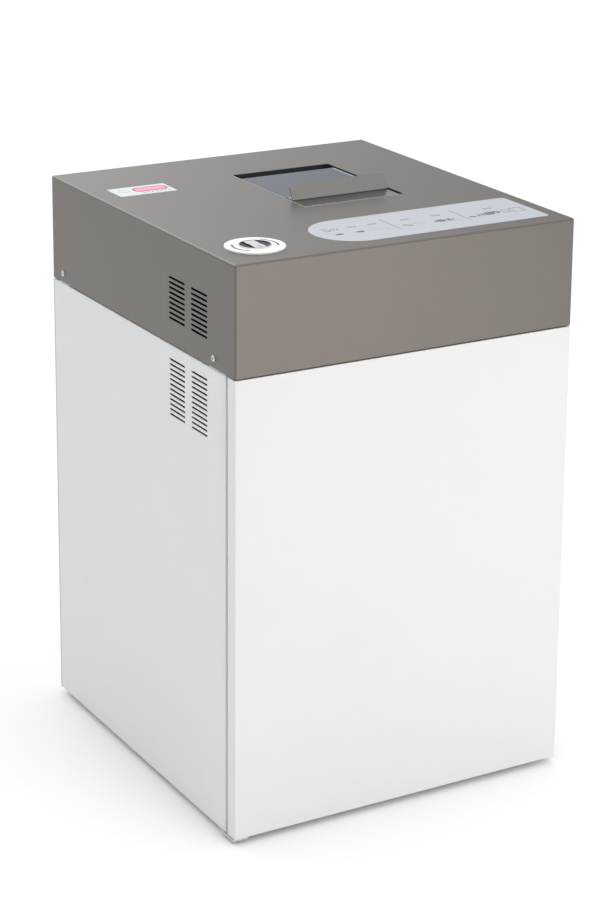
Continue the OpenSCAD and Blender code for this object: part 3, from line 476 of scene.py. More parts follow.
def coat_group():
    """Height of a sprayed or moulded skin: broad ripple with a fine grain."""
    tree, start, end = new_group(
        "Skin Grain", [("Vector", "Vector", None), ("Grain", "Float", 900.0), ("Ripple", "Float", 0.6)],
        [("Height", "Float")])
    grain = put(tree, "ShaderNodeTexNoise", {"Vector": start.outputs["Vector"],
                                             "Scale": start.outputs["Grain"], "Detail": 2.0})
    ripple_scale = math_node(tree, "MULTIPLY", start.outputs["Grain"], 0.3)
    ripple = put(tree, "ShaderNodeTexNoise", {"Vector": start.outputs["Vector"], "Scale": ripple_scale,
                                              "Detail": 1.0})
    share = math_node(tree, "SUBTRACT", 1.0, start.outputs["Ripple"])
    height = math_node(tree, "ADD",
                       math_node(tree, "MULTIPLY", grain.outputs["Fac"], share),
                       math_node(tree, "MULTIPLY", ripple.outputs["Fac"], start.outputs["Ripple"]))
    tree.links.new(height, end.inputs["Height"])
    return tree


def dust_group():
    """Mask of dust that settles on faces that look up, in soft patches."""
    tree, start, end = new_group(
        "Settled Dust", [("Vector", "Vector", None), ("Normal", "Vector", None), ("Amount", "Float", 0.3)],
        [("Dust", "Float")])
    up = put(tree, "ShaderNodeSeparateXYZ", {0: start.outputs["Normal"]}).outputs["Z"]
    facing = math_node(tree, "POWER", math_node(tree, "MAXIMUM", up, 0.0), 3.0)
    patches = put(tree, "ShaderNodeTexNoise", {"Vector": start.outputs["Vector"], "Scale": 38.0,
                                               "Detail": 5.0, "Roughness": 0.7})
    spread = math_node(tree, "MULTIPLY", math_node(tree, "SUBTRACT", patches.outputs["Fac"], 0.35), 2.2,
                       clamp=True)
    mask = math_node(tree, "MULTIPLY", math_node(tree, "MULTIPLY", facing, spread),
                     start.outputs["Amount"])
    tree.links.new(mask, end.inputs["Dust"])
    return tree


def wear_group():
    """Mask of rubbed edges: where a rounded normal leaves the real one, broken up by noise."""
    tree, start, end = new_group(
        "Rubbed Edges", [("Vector", "Vector", None), ("Reach", "Float", 0.0008), ("Amount", "Float", 0.5)],
        [("Edge", "Float")])
    rounded = put(tree, "ShaderNodeBevel", {"Radius": start.outputs["Reach"]}, samples=4)
    flat = tree.nodes.new("ShaderNodeNewGeometry")
    turn = put(tree, "ShaderNodeVectorMath", {0: rounded.outputs[0], 1: flat.outputs["Normal"]},
               operation="DOT_PRODUCT").outputs["Value"]
    bent = math_node(tree, "MULTIPLY", math_node(tree, "SUBTRACT", 1.0, turn), 6.0, clamp=True)
    breaks = put(tree, "ShaderNodeTexNoise", {"Vector": start.outputs["Vector"], "Scale": 140.0,
                                              "Detail": 4.0})
    broken = math_node(tree, "MULTIPLY", math_node(tree, "SUBTRACT", breaks.outputs["Fac"], 0.3), 2.0,
                       clamp=True)
    mask = math_node(tree, "MULTIPLY", math_node(tree, "MULTIPLY", bent, broken),
                     start.outputs["Amount"])
    tree.links.new(mask, end.inputs["Edge"])
    return tree


GROUPS = {}


def group(key):
    """The shared effect with this name, built the first time it is asked for."""
    makers = {"lines": stretched_lines_group, "fold": fold_direction_group, "mottle": mottle_group,
              "coat": coat_group, "dust": dust_group, "wear": wear_group}
    if key not in GROUPS:
        GROUPS[key] = makers[key]()
    return GROUPS[key]


def effect(tree, key, **inputs):
    """Places a shared effect in a material with its own values."""
    node = tree.nodes.new("ShaderNodeGroup")
    node.node_tree = group(key)
    for label, value in inputs.items():
        socket = node.inputs[label.capitalize()]
        if isinstance(value, bpy.types.NodeSocket):
            tree.links.new(value, socket)
        else:
            socket.default_value = value
    return node


# ---- Materials ----

MATERIALS = {}


def new_material(name, base, **constants):
    """Principled material with constants on its own sockets; gives tree, shader and coordinates."""
    material = bpy.data.materials.new(name)
    material.use_nodes = True
    material.diffuse_color = (*base, 1.0)
    tree = material.node_tree
    shader = tree.nodes["Principled BSDF"]
    shader.inputs["Base Color"].default_value = (*base, 1.0)
    for label, value in constants.items():
        shader.inputs[label.replace("_", " ")].default_value = value
    MATERIALS[name] = material
    return material, tree, shader, tree.nodes.new("ShaderNodeTexCoord")


def toned(tree, base, tone):
    """Base colour made lighter and darker by a tone near 1."""
    scaled = put(tree, "ShaderNodeVectorMath", {0: tuple(base)}, operation="SCALE")
    tree.links.new(tone, scaled.inputs["Scale"])
    return scaled.outputs[0]


def blended(tree, fac, a, b):
    """Colour between a and b."""
    mix = put(tree, "ShaderNodeMix", {0: fac}, data_type="RGBA")
    for index, value in ((6, a), (7, b)):
        if isinstance(value, bpy.types.NodeSocket):
            tree.links.new(value, mix.inputs[index])
        else:
            mix.inputs[index].default_value = (*value, 1.0)
    return mix.outputs[2]


def ranged(tree, value, low, high):
    """Maps a value from 0..1 to low..high."""
    return put(tree, "ShaderNodeMapRange", {"Value": value, "To Min": low, "To Max": high}).outputs[0]


def bumped(tree, shader, height, strength, distance):
    """Drives the shader's normal with a height."""
    bump = put(tree, "ShaderNodeBump", {"Strength": strength, "Distance": distance, "Height": height})
    tree.links.new(bump.outputs[0], shader.inputs["Normal"])


def brushed(name, base, rough, folded=False, stretch=(0.012, 1, 1), fineness=2600.0, depth=0.00001,
            grime=0.0):
    """Brushed or turned steel: drawn lines in the tone, the gloss and the height."""
    material, tree, shader, at = new_material(name, base, Metallic=1.0)
    if folded:
        direction = effect(tree, "fold", normal=at.outputs["Normal"]).outputs["Stretch"]
    else:
        direction = stretch
    lines = effect(tree, "lines", vector=at.outputs["Object"], stretch=direction, fineness=fineness)
    mottle = effect(tree, "mottle", vector=at.outputs["Object"], patch=5.0, amount=0.06)
    line_tone = ranged(tree, lines.outputs["Lines"], 0.94, 1.06)
    streak_tone = ranged(tree, lines.outputs["Streaks"], 0.98, 1.02)
    tone = math_node(tree, "MULTIPLY", math_node(tree, "MULTIPLY", line_tone, streak_tone),
                     mottle.outputs["Tone"])
    surface = toned(tree, base, tone)
    gloss = ranged(tree, lines.outputs["Lines"], rough - 0.06, rough + 0.1)
    if grime:
        dust = effect(tree, "dust", vector=at.outputs["Object"], normal=at.outputs["Normal"],
                      amount=grime)
        surface = blended(tree, dust.outputs["Dust"], surface, (0.30, 0.28, 0.25))
        gloss = math_node(tree, "ADD", gloss, math_node(tree, "MULTIPLY", dust.outputs["Dust"], 0.3))
    tree.links.new(surface, shader.inputs["Base Color"])
    tree.links.new(gloss, shader.inputs["Roughness"])
    bumped(tree, shader, lines.outputs["Lines"], 0.35, depth)
    return material


def coated(name, base, rough, grain=700.0, depth=0.00004, worn=0.0, under=(0.45, 0.45, 0.46),
           grime=0.0, **constants):
    """Enamel or moulded plastic: orange-peel or grain height, slow mottle, rubbed edges and dust."""
    material, tree, shader, at = new_material(name, base, **constants)
    mottle = effect(tree, "mottle", vector=at.outputs["Object"], patch=4.0, amount=0.03)
    skin = effect(tree, "coat", vector=at.outputs["Object"], grain=grain)
    surface = toned(tree, base, mottle.outputs["Tone"])
    gloss = ranged(tree, mottle.outputs["Patches"], rough - 0.05, rough + 0.07)
    if worn:
        edge = effect(tree, "wear", vector=at.outputs["Object"], amount=worn).outputs["Edge"]
        surface = blended(tree, edge, surface, under)
        gloss = math_node(tree, "SUBTRACT", gloss, math_node(tree, "MULTIPLY", edge, 0.15))
    if grime:
        dust = effect(tree, "dust", vector=at.outputs["Object"], normal=at.outputs["Normal"],
                      amount=grime)
        surface = blended(tree, dust.outputs["Dust"], surface, (0.42, 0.40, 0.37))
        gloss = math_node(tree, "ADD", gloss, math_node(tree, "MULTIPLY", dust.outputs["Dust"], 0.35))
    tree.links.new(surface, shader.inputs["Base Color"])
    tree.links.new(gloss, shader.inputs["Roughness"])
    bumped(tree, shader, skin.outputs["Height"], 0.3, depth)
    return material


def plated(name, base):
    """Zinc plate: faint crystals in tone and gloss."""
    material, tree, shader, at = new_material(name, base, Metallic=1.0)
    crystals = put(tree, "ShaderNodeTexVoronoi", {"Vector": at.outputs["Object"], "Scale": 130.0})
    parts = put(tree, "ShaderNodeSeparateColor", {0: crystals.outputs["Color"]})
    mottle = effect(tree, "mottle", vector=at.outputs["Object"], patch=8.0, amount=0.08)
    spangle = ranged(tree, parts.outputs[0], 0.93, 1.07)
    tree.links.new(toned(tree, base, math_node(tree, "MULTIPLY", spangle, mottle.outputs["Tone"])),
                   shader.inputs["Base Color"])
    tree.links.new(ranged(tree, parts.outputs[1], 0.36, 0.5), shader.inputs["Roughness"])
    bumped(tree, shader, mottle.outputs["Patches"], 0.2, 0.00005)
    return material


def smoked_acrylic(name, base):
    """Tinted see-through plate with faint scuffs."""
    material, tree, shader, at = new_material(name, base, IOR=1.3, Transmission_Weight=0.5)
    scuffs = effect(tree, "lines", vector=at.outputs["Object"], stretch=(0.2, 1, 1), fineness=500.0)
    tree.links.new(ranged(tree, scuffs.outputs["Lines"], 0.06, 0.2), shader.inputs["Roughness"])
    mottle = effect(tree, "mottle", vector=at.outputs["Object"], patch=9.0, amount=0.05)
    tree.links.new(toned(tree, base, mottle.outputs["Tone"]), shader.inputs["Base Color"])
    return material


def circuit_board(name, base):
    """Solder mask with paler tracks under it."""
    material, tree, shader, at = new_material(name, base, Coat_Weight=0.4)
    cells = put(tree, "ShaderNodeTexVoronoi", {"Vector": at.outputs["Object"], "Scale": 170.0},
                feature="DISTANCE_TO_EDGE")
    track = math_node(tree, "LESS_THAN", cells.outputs["Distance"], 0.05)
    tree.links.new(blended(tree, track, base, (0.05, 0.28, 0.12)), shader.inputs["Base Color"])
    tree.links.new(ranged(tree, track, 0.45, 0.3), shader.inputs["Roughness"])
    bumped(tree, shader, track, 0.3, 0.00004)
    return material


def build_materials(finish_set):
    """Every finish of the machine."""
    f = finish_set
    coated("white_enamel", f.enamel, 0.42, grain=420.0, depth=0.00006)
    brushed("hood_steel", f.hood, 0.36, folded=True, depth=0.00005)
    brushed("stainless", f.stainless, 0.24, fineness=3200.0)
    # Bright steel for the painted highlight on the front and left sides of the well's rim.
    brushed("rim_highlight_steel", f.polished, 0.18, fineness=3200.0)
    smoked_acrylic("smoked_plate", f.plate)
    # Pale aqua for the painted highlight on the lid plate's edges.
    coated("plate_edge_highlight", f.plate_edge_highlight, 0.25, grain=1500.0, depth=0.00002, IOR=1.49)
    coated("rosette_white", f.rosette, 0.3, grain=1400.0, depth=0.00002, Coat_Weight=0.3)
    coated("grip_grey", f.grip, 0.4, grain=1800.0, depth=0.00003)
    # Near black as painted shade in the switch cup and on the grip's sides.
    coated("cup_shade_black", f.recess, 0.5, grain=1800.0, depth=0.00003)
    coated("strip_film", f.film, 0.38, grain=1200.0, depth=0.00002, Coat_Weight=0.25)
    coated("silver_film", f.silver_film, 0.34, grain=1200.0, depth=0.00002, Coat_Weight=0.25)
    coated("dark_ink", f.ink, 0.5, grain=2500.0, depth=0.00001)
    coated("faint_ink", f.faint_ink, 0.5, grain=2500.0, depth=0.00001)
    coated("pink_ink", f.pink_ink, 0.5, grain=2500.0, depth=0.00001)
    coated("red_ink", f.red_ink, 0.5, grain=2500.0, depth=0.00001)
    plated("zinc_plate", f.zinc)
    brushed("tool_steel", f.tool, 0.32, stretch=(1, 0.4, 0.4), fineness=1500.0, grime=0.35)
    brushed("shaft_steel", f.shaft, 0.26, stretch=(1, 0.02, 0.02), fineness=3000.0)
    brushed("gear_steel", f.gear, 0.34, stretch=(0.3, 1, 1), fineness=900.0, grime=0.25)
    # Near-black enamel as painted shade for the inside of the feed opening, with rubbed edges.
    coated("black_enamel", f.chute_black, 0.4, grain=600.0, depth=0.00006, worn=0.4)
    coated("frame_paint", f.frame_paint, 0.48, grain=600.0, depth=0.00008, worn=0.6, grime=0.35)
    brushed("comb_blue", f.blued, 0.4, stretch=(0.02, 1, 1), fineness=1800.0, grime=0.3)
    coated("black_plastic", f.black, 0.45, grain=1600.0, depth=0.00006, grime=0.12)
    coated("white_plastic", f.ivory, 0.42, grain=1600.0, depth=0.00004)
    coated("bin_plastic", f.bin_grey, 0.46, grain=1100.0, depth=0.0001, grime=0.2)
    coated("foot_rubber", f.rubber, 0.75, grain=1300.0, depth=0.0001, grime=0.25)
    circuit_board("board_green", f.board)
    brushed("brass", f.brass, 0.25, stretch=(1, 0.05, 0.05), fineness=2500.0)


# ---- Operators: shells ----

def vent_tool(x0, x1, middle_y, top_z, rows, sizes):
    """Two columns of round-ended slots, as one cutting shape through a wall that faces X."""
    half, up = sizes.vent_length / 2, sizes.vent_height / 2
    y = middle_y - sizes.vent_columns / 2
    tool = block("slots", (x0, y - half, top_z - up), (x1, y + half, top_z + up))
    round_edges(tool, runs_along(X), up * 0.98, 4)
    repeat(tool, rows, (0, 0, -sizes.vent_pitch))
    return repeat(tool, 2, (0, sizes.vent_columns, 0))


class SHREDDER_OT_hood(bpy.types.Operator):
    """Folds the brushed hood, rolls the rim of its feed well and cuts its side vents"""

    bl_idname = "shredder.hood"
    bl_label = "Hood"

    def execute(self, context):
        s = context.scene.shredder_sizes
        low, high = pair("hood")
        sheet = Vector((s.sheet, s.sheet, s.sheet))
        up = Vector((0, 0, MM))
        hood = block("hood_shell", low, high)
        above = lambda e: not lies_at(Z, low.z)(e)
        round_edges(hood, above, s.fold, 6)
        cavity = block("cavity", low + Vector((s.sheet, s.sheet, 0)) - up, high - sheet)
        round_edges(cavity, lambda e: not lies_at(Z, low.z - MM)(e), s.fold - s.sheet, 4)
        combine(hood, cavity)
        well_low, well_high = feed_well(s, high.z)
        roof = high.z - s.sheet
        rim_top = high.z + s.rim_bead
        rim = block("rim", (well_low.x - s.sheet, well_low.y - s.sheet, roof - s.rim_drop),
                    (well_high.x + s.sheet, well_high.y + s.sheet, rim_top))
        round_edges(rim, runs_along(Z), 3 * MM, 4)
        combine(hood, rim, "UNION")
        well = block("well", well_low - Vector((0, 0, 20 * MM)), well_high + up * 5)
        round_edges(well, runs_along(Z), 2 * MM, 4)
        combine(hood, well)
        round_edges(hood, lies_at(Z, rim_top), s.rim_roll, 4)
        switch = middle_of("switch_rosette")
        combine(hood, disc("spindle_hole", (switch.x, switch.y, roof), 8 * MM, 10 * MM, sides=32))
        vent_y = middle_of("motor_rotor").y
        slots = vent_tool(low.x - MM, low.x + s.sheet + MM, vent_y, high.z - s.hood_vent_top,
                          s.hood_vent_rows, s)
        combine(hood, slots)
        soften_slots(hood, low.x, s)
        finish(hood, ["hood"], [MATERIALS["hood_steel"], MATERIALS["rim_highlight_steel"],
                                MATERIALS["black_enamel"]])
        # Painted highlight: the rim's front and left sides get the bright steel, while its right and rear sides
        # keep the hood's steel.
        paint(hood, 1, lambda c, n: c.z > high.z + 0.02 * MM
              and (c.y < well_low.y or c.x < well_low.x))
        # Painted shade: the well's inner walls get the near-black enamel for the shade down in the feed
        # opening.
        paint(hood, 2, lambda c, n: c.z < high.z - 0.2 * MM and abs(n.z) < 0.5
              and well_low.x - 0.1 * MM < c.x < well_high.x + 0.1 * MM
              and well_low.y - 0.1 * MM < c.y < well_high.y + 0.1 * MM)
        return {"FINISHED"}


def feed_well(s, top):
    """Two corners of the feed well's opening, from the lid that lies in it."""
    plate_low, plate_high = pair("lid_plate")
    front_low = pair("lid_front_plate")[0]
    return (Vector((plate_low.x - s.lid_side_gap, front_low.y - s.lid_front_gap, top)),
            Vector((plate_high.x + s.lid_side_gap, plate_high.y + s.lid_rear_gap, top)))


def soften_slots(piece, outer_x, s):
    """Takes the sharpness off the slots on the outer face."""
    y = middle_of("motor_rotor").y
    reach = s.vent_columns / 2 + s.vent_length / 2 + MM
    low, high = pair(piece.name.replace("_shell", ""))
    region = within(Vector((outer_x, y - reach, low.z + 5 * MM)), Vector((outer_x, y + reach, high.z - 5 * MM)))
    round_edges(piece, region, 0.25 * MM, 1)


def side_shell(node, outer, inner, s):
    """Side panel with rounded outer folds and four turned-in flanges, hollow towards the inside."""
    low, high = pair(node)
    panel = block(f"{node}_shell", low, high)
    round_edges(panel, lies_at(X, outer), s.panel_fold, 4)
    inward = 1 if inner > outer else -1
    near, far = outer + inward * s.sheet, inner + inward * MM
    cavity = block("cavity", (min(near, far), low.y + s.sheet, low.z + s.sheet),
                   (max(near, far), high.y - s.sheet, high.z - s.sheet))
    round_edges(cavity, lies_at(X, near), s.panel_fold - s.sheet, 2)
    return combine(panel, cavity)


class SHREDDER_OT_side_panels(bpy.types.Operator):
    """Folds the two side panels and cuts the vents in the left one"""

    bl_idname = "shredder.side_panels"
    bl_label = "Side panels"

    def execute(self, context):
        s = context.scene.shredder_sizes
        enamel = MATERIALS["white_enamel"]
        low, high = pair("left_side_panel")
        left = side_shell("left_side_panel", low.x, high.x, s)
        top = pair("hood")[0].z - s.panel_vent_top
        combine(left, vent_tool(low.x - MM, low.x + s.sheet + MM, middle_of("motor_rotor").y, top,
                                s.panel_vent_rows, s))
        soften_slots(left, low.x, s)
        finish(left, ["left_side_panel"], enamel)
        low, high = pair("right_side_panel")
        finish(side_shell("right_side_panel", high.x, low.x, s), ["right_side_panel"], enamel)
        return {"FINISHED"}


class SHREDDER_OT_cabinet_frame(bpy.types.Operator):
    """Finishes the rear panel, the pan, the rail, the deck and the hood's brackets"""

    bl_idname = "shredder.cabinet_frame"
    bl_label = "Cabinet frame"

    def execute(self, context):
        s = context.scene.shredder_sizes
        refine_all(["rear_panel"], MATERIALS["white_enamel"], s.edge_break)
        refine_all(["base_pan", "front_rail", "drive_deck", "hood_brackets"],
                   MATERIALS["zinc_plate"], s.edge_break)
        return {"FINISHED"}


class SHREDDER_OT_door(bpy.types.Operator):
    """Models the hollow door with its folded edges, liner, bushes, magnets and finger cup"""

    bl_idname = "shredder.door"
    bl_label = "Door"

    def execute(self, context):
        s = context.scene.shredder_sizes
        low, high = pair("door_panel")
        door = block("door_panel_shell", low, high)
        round_edges(door, runs_along(Z), s.door_fold, 5)
        round_edges(door, lambda e: not runs_along(Z)(e) and (lies_at(Z, low.z)(e) or lies_at(Z, high.z)(e))
                    and not lies_at(Y, high.y)(e), 0.9 * MM, 3)
        lip = pair("door_liner")[0].x - low.x
        choose(door, "FACE", lies_at(Y, high.y))
        bpy.ops.mesh.inset(thickness=lip - s.door_fold + 0.1 * MM, depth=0)
        depth = high.y - low.y - s.sheet - 0.5 * MM
        bpy.ops.mesh.extrude_region_move(TRANSFORM_OT_translate={"value": (0, -depth, 0)})
        leave(door)
        cup_low, cup_high = pair("door_pull")
        combine(door, block("pull_hole", cup_low, cup_high + Vector((MM, MM, 0))))
        pin = middle_of("hinge_pins")
        for z in (low.z, high.z):
            combine(door, disc("pin_hole", (pin.x, pin.y, z), 4.6 * MM, 8 * MM, sides=32))
        finish(door, ["door_panel"], MATERIALS["white_enamel"])
        refine_all(["door_liner"], MATERIALS["white_enamel"], s.edge_break)
        refine_all(["door_bushes", "door_magnet"], MATERIALS["white_plastic"], s.edge_break)
        refine_all(["catch_keeper"], MATERIALS["zinc_plate"], 0.1 * MM)
        refine_all(["door_pull"], MATERIALS["black_plastic"], 0.6 * MM, 3)
        return {"FINISHED"}


class SHREDDER_OT_hinges(bpy.types.Operator):
    """Finishes the hinge brackets and pins, the magnetic catch and the reed switch"""

    bl_idname = "shredder.hinges"
    bl_label = "Hinges and catch"

    def execute(self, context):
        s = context.scene.shredder_sizes
        refine_all(["hinge_brackets"], MATERIALS["zinc_plate"], s.edge_break)
        refine_all(["hinge_pins"], MATERIALS["shaft_steel"], 0.5 * MM)
        refine_all(["catch_magnet"], MATERIALS["black_plastic"], s.edge_break)
        refine_all(["reed_switch"], MATERIALS["white_plastic"], s.edge_break)
        return {"FINISHED"}


# ---- Operators: small outer pieces ----

def screw_pattern():
    """Button-head screw with its seat at the origin, its head up and a hexagon socket."""
    head, rise, thread = 4.2 * MM, 1.6 * MM, 2 * MM
    screw = disc("screw", (0, 0, rise / 2), head, rise, sides=32)
    round_edges(screw, lies_at(Z, rise), 1.1 * MM, 4)
    combine(screw, disc("socket", (0, 0, rise), 1.4 * MM, 2 * MM, sides=6))
    shank = disc("shank", (0, 0, -1.2 * MM), thread, 2.6 * MM, sides=24)
    return combine(screw, shank, "UNION")


class SHREDDER_OT_screws(bpy.types.Operator):
    """Sets the button-head screws in the hood's sides and the rear panel"""

    bl_idname = "shredder.screws"
    bl_label = "Cover screws"

    def execute(self, context):
        pattern = screw_pattern()
        hood_low, hood_high = pair("hood")
        low, high = pair("cover_screws")
        rear_y = pair("rear_panel")[1].y
        brackets_low, brackets_high = pair("hood_brackets")
        hood_z = hood_low.z + 12 * MM
        places = []
        for y in (brackets_low.y + 15 * MM, brackets_high.y - 15 * MM):
            places.append(((hood_low.x, y, hood_z), (0, -math.pi / 2, 0)))
            places.append(((hood_high.x, y, hood_z), (0, math.pi / 2, 0)))
        panel_low, panel_high = pair("rear_panel")
        for x in (panel_low.x + 8 * MM, panel_high.x - 8 * MM):
            for z in (panel_low.z + 52 * MM, (panel_low.z + panel_high.z) / 2, panel_high.z - 48 * MM):
                places.append(((x, rear_y, z), (-math.pi / 2, 0, 0)))
        screws = [copy_to(pattern, "screw", place, turn) for place, turn in places]
        bpy.data.objects.remove(pattern, do_unlink=True)
        finish(join("button_screws", screws), ["cover_screws"], MATERIALS["shaft_steel"])
        return {"FINISHED"}


class SHREDDER_OT_feet(bpy.types.Operator):
    """Turns the rubber feet with a chamfered sole and a sunk washer"""

    bl_idname = "shredder.feet"
    bl_label = "Rubber feet"

    def execute(self, context):
        low, high = pair("rubber_feet")
        radius, tall = 20 * MM, high.z - low.z
        foot = disc("foot", (0, 0, tall / 2), radius, tall, sides=48)
        round_edges(foot, lies_at(Z, 0), 1.5 * MM, 3)
        round_edges(foot, lies_at(Z, tall), 0.6 * MM, 2)
        choose(foot, "FACE", both(lies_at(Z, 0), lambda f: f.calc_area() > (10 * MM) ** 2))
        bpy.ops.mesh.inset(thickness=10 * MM, depth=0)
        bpy.ops.mesh.extrude_region_move(TRANSFORM_OT_translate={"value": (0, 0, 3 * MM)})
        leave(foot)
        feet = [copy_to(foot, "foot", (x, y, low.z)) for x in (low.x + radius, high.x - radius)
                for y in (low.y + radius, high.y - radius)]
        bpy.data.objects.remove(foot, do_unlink=True)
        finish(join("feet_set", feet), ["rubber_feet"], MATERIALS["foot_rubber"])
        return {"FINISHED"}


class SHREDDER_OT_feed_lid(bpy.types.Operator):
    """Models the smoked lid plate, its front plate, leaning lip, hinge ears and rivets"""

    bl_idname = "shredder.feed_lid"
    bl_label = "Feed lid"

    def execute(self, context):
        s = context.scene.shredder_sizes
        plate = refined("lid_plate", 0.5 * MM, 2)
        low, high = pair("lid_plate")
        choose(plate, "FACE", both(lies_at(Z, high.z), lambda f: f.calc_area() > (20 * MM) ** 2))
        for width in (0.9 * MM, 1.1 * MM, 0.9 * MM):
            bpy.ops.mesh.inset(thickness=width, depth=0)
        leave(plate)
        finish(plate, ["lid_plate"], [MATERIALS["smoked_plate"], MATERIALS["plate_edge_highlight"]])
        # Painted highlight: the plate's edge faces get the pale aqua of the bright edge lines.
        paint(plate, 1, lambda c, n: abs(n.z) < 0.75 and (c.x - low.x < MM or high.x - c.x < MM
                                                        or c.y - low.y < MM or high.y - c.y < MM))
        # Painted highlight: two thin bright strips on the top near the right edge stand for the plate's edges
        # seen through it.
        paint(plate, 1, lambda c, n: n.z > 0.9 and (high.x - c.x < 1.4 * MM
                                                    or 2.5 * MM < high.x - c.x < 3.4 * MM))
        refine_all(["lid_front_plate", "lid_handle"], MATERIALS["stainless"], s.edge_break)
        refine_all(["lid_rivets"], MATERIALS["stainless"], 0.45 * MM, 3)
        refine_all(["lid_hinge_ears"], MATERIALS["stainless"], s.edge_break)
        refine_all(["lid_hinge_pin"], MATERIALS["shaft_steel"], 0.4 * MM)
        return {"FINISHED"}


class SHREDDER_OT_switch(bpy.types.Operator):
    """Models the rotary switch: white rosette with two printed arcs, cup, grip and body"""

    bl_idname = "shredder.switch"
    bl_label = "Rotary switch"

    def execute(self, context):
        s = context.scene.shredder_sizes
        low, high = pair("switch_rosette")
        centre = (low + high) / 2
        thick, outer, hole = high.z - low.z, (high.x - low.x) / 2, 20.3 * MM
        rosette = disc("rosette_ring", centre, outer, thick, sides=96)
        round_edges(rosette, lies_at(Z, high.z), 0.9 * MM, 4)
        combine(rosette, disc("hole", centre, hole, thick * 3, sides=96))
        inner = lambda e: lies_at(Z, high.z)(e) and all(
            (v.co.xy - centre.xy).length < hole + MM for v in e.verts)
        round_edges(rosette, inner, 0.4 * MM, 3)
        finish(rosette, ["switch_rosette"], MATERIALS["rosette_white"])
        for name, start in (("left_arc", 150), ("right_arc", -30)):
            arc = printed_arc(name, centre, high.z, 28 * MM, 2.8 * MM, start, 80, s.print_film)
            finish(arc, "switch_rosette", MATERIALS["dark_ink"])
        cup = refined("switch_cup", 0.25 * MM, 2)
        finish(cup, ["switch_cup"], [MATERIALS["cup_shade_black"], MATERIALS["rosette_white"]])
        rim = 18 * MM
        # Painted shade: the cup stays near black inside; only its rim and outer wall get the rosette's white.
        paint(cup, 1, lambda c, n: (c.xy - centre.xy).length > rim and n.xy.dot(c.xy - centre.xy) > -0.4 * rim)
        self.grip(centre)
        refine_all(["rotary_switch_body"], MATERIALS["black_plastic"], 0.8 * MM, 3)
        return {"FINISHED"}

    def grip(self, centre):
        """Bar across the cup, waisted for two fingers, with a pointer groove."""
        low, high = pair("switch_grip")
        half_w, half_l = 7.5 * MM, 17.8 * MM
        grip = block("grip_bar", (centre.x - half_w, centre.y - half_l, low.z),
                     (centre.x + half_w, centre.y + half_l, high.z))
        combine(grip, disc("round_end", centre, half_l, 20 * MM, sides=96), "INTERSECT")
        for side in (-1, 1):
            waist = disc("waist", (centre.x + side * (half_w + 28 * MM), centre.y, high.z), 28.6 * MM,
                         20 * MM, sides=96)
            combine(grip, waist)
        round_edges(grip, lies_at(Z, high.z), 0.5 * MM, 3)
        groove = block("groove", (centre.x - 0.7 * MM, centre.y - half_l + 2.5 * MM, high.z - 0.6 * MM),
                       (centre.x + 0.7 * MM, centre.y - half_l + 11 * MM, high.z + MM))
        combine(grip, groove)
        finish(grip, ["switch_grip"], [MATERIALS["grip_grey"], MATERIALS["cup_shade_black"]])
        # Painted shade: the grip's upright sides get the near-black recess colour for the shade beside the bar.
        paint(grip, 1, lambda c, n: abs(n.z) < 0.3)


# ---- Operators: printed film ----

def printed_arc(name, centre, top, radius, width, start, sweep, thick):
    """Arc of ink, spun round a centre from a short radial edge."""
    a = math.radians(start)
    out = Vector((math.cos(a), math.sin(a), 0))
    hold(None)
    bpy.ops.mesh.primitive_plane_add(size=1, location=(0, 0, 0))
    arc = bpy.context.object
    arc.name = arc.data.name = name
    arc.scale = (width, thick, 1)
    arc.rotation_euler = (math.pi / 2, 0, a)
    arc.location = Vector((centre.x, centre.y, top + thick / 2)) + out * radius
    settle(arc)
    choose(arc, "FACE", lambda f: True)
    bpy.ops.mesh.spin(steps=max(6, int(sweep / 4)), angle=math.radians(-sweep),
                      center=(centre.x, centre.y, top), axis=(0, 0, 1))
    bpy.ops.mesh.select_all(action="SELECT")
    bpy.ops.mesh.normals_make_consistent(inside=False)
    return leave(arc)


def mark(name, x, y, width, depth, top, thick, corner=0.0, hollow=0.0):
    """Flat mark of ink with its middle at x, y, with rounded corners, solid or as an outline."""
    shape = block(name, (x - width / 2, y - depth / 2, top), (x + width / 2, y + depth / 2, top + thick))
    if corner:
        round_edges(shape, runs_along(Z), corner, 5)
    if hollow:
        inner = block("inner", (x - width / 2 + hollow, y - depth / 2 + hollow, top - thick),
                      (x + width / 2 - hollow, y + depth / 2 - hollow, top + 2 * thick))
        if corner > hollow:
            round_edges(inner, runs_along(Z), corner - hollow, 5)
        combine(shape, inner)
    return shape


def turned(shape, middle, degrees):
    """Turns a mark about its own middle."""
    centre = Vector((*middle, 0))
    shape.matrix_world = (Matrix.Translation(centre) @ Matrix.Rotation(math.radians(degrees), 4, "Z")
                          @ Matrix.Translation(-centre))
    return settle(shape)


def ring(name, x, y, radius, width, top, thick):
    """Ring of ink."""
    shape = disc(name, (x, y, top + thick / 2), radius, thick, sides=32)
    return combine(shape, disc("hole", (x, y, top), radius - width, thick * 6, sides=32))


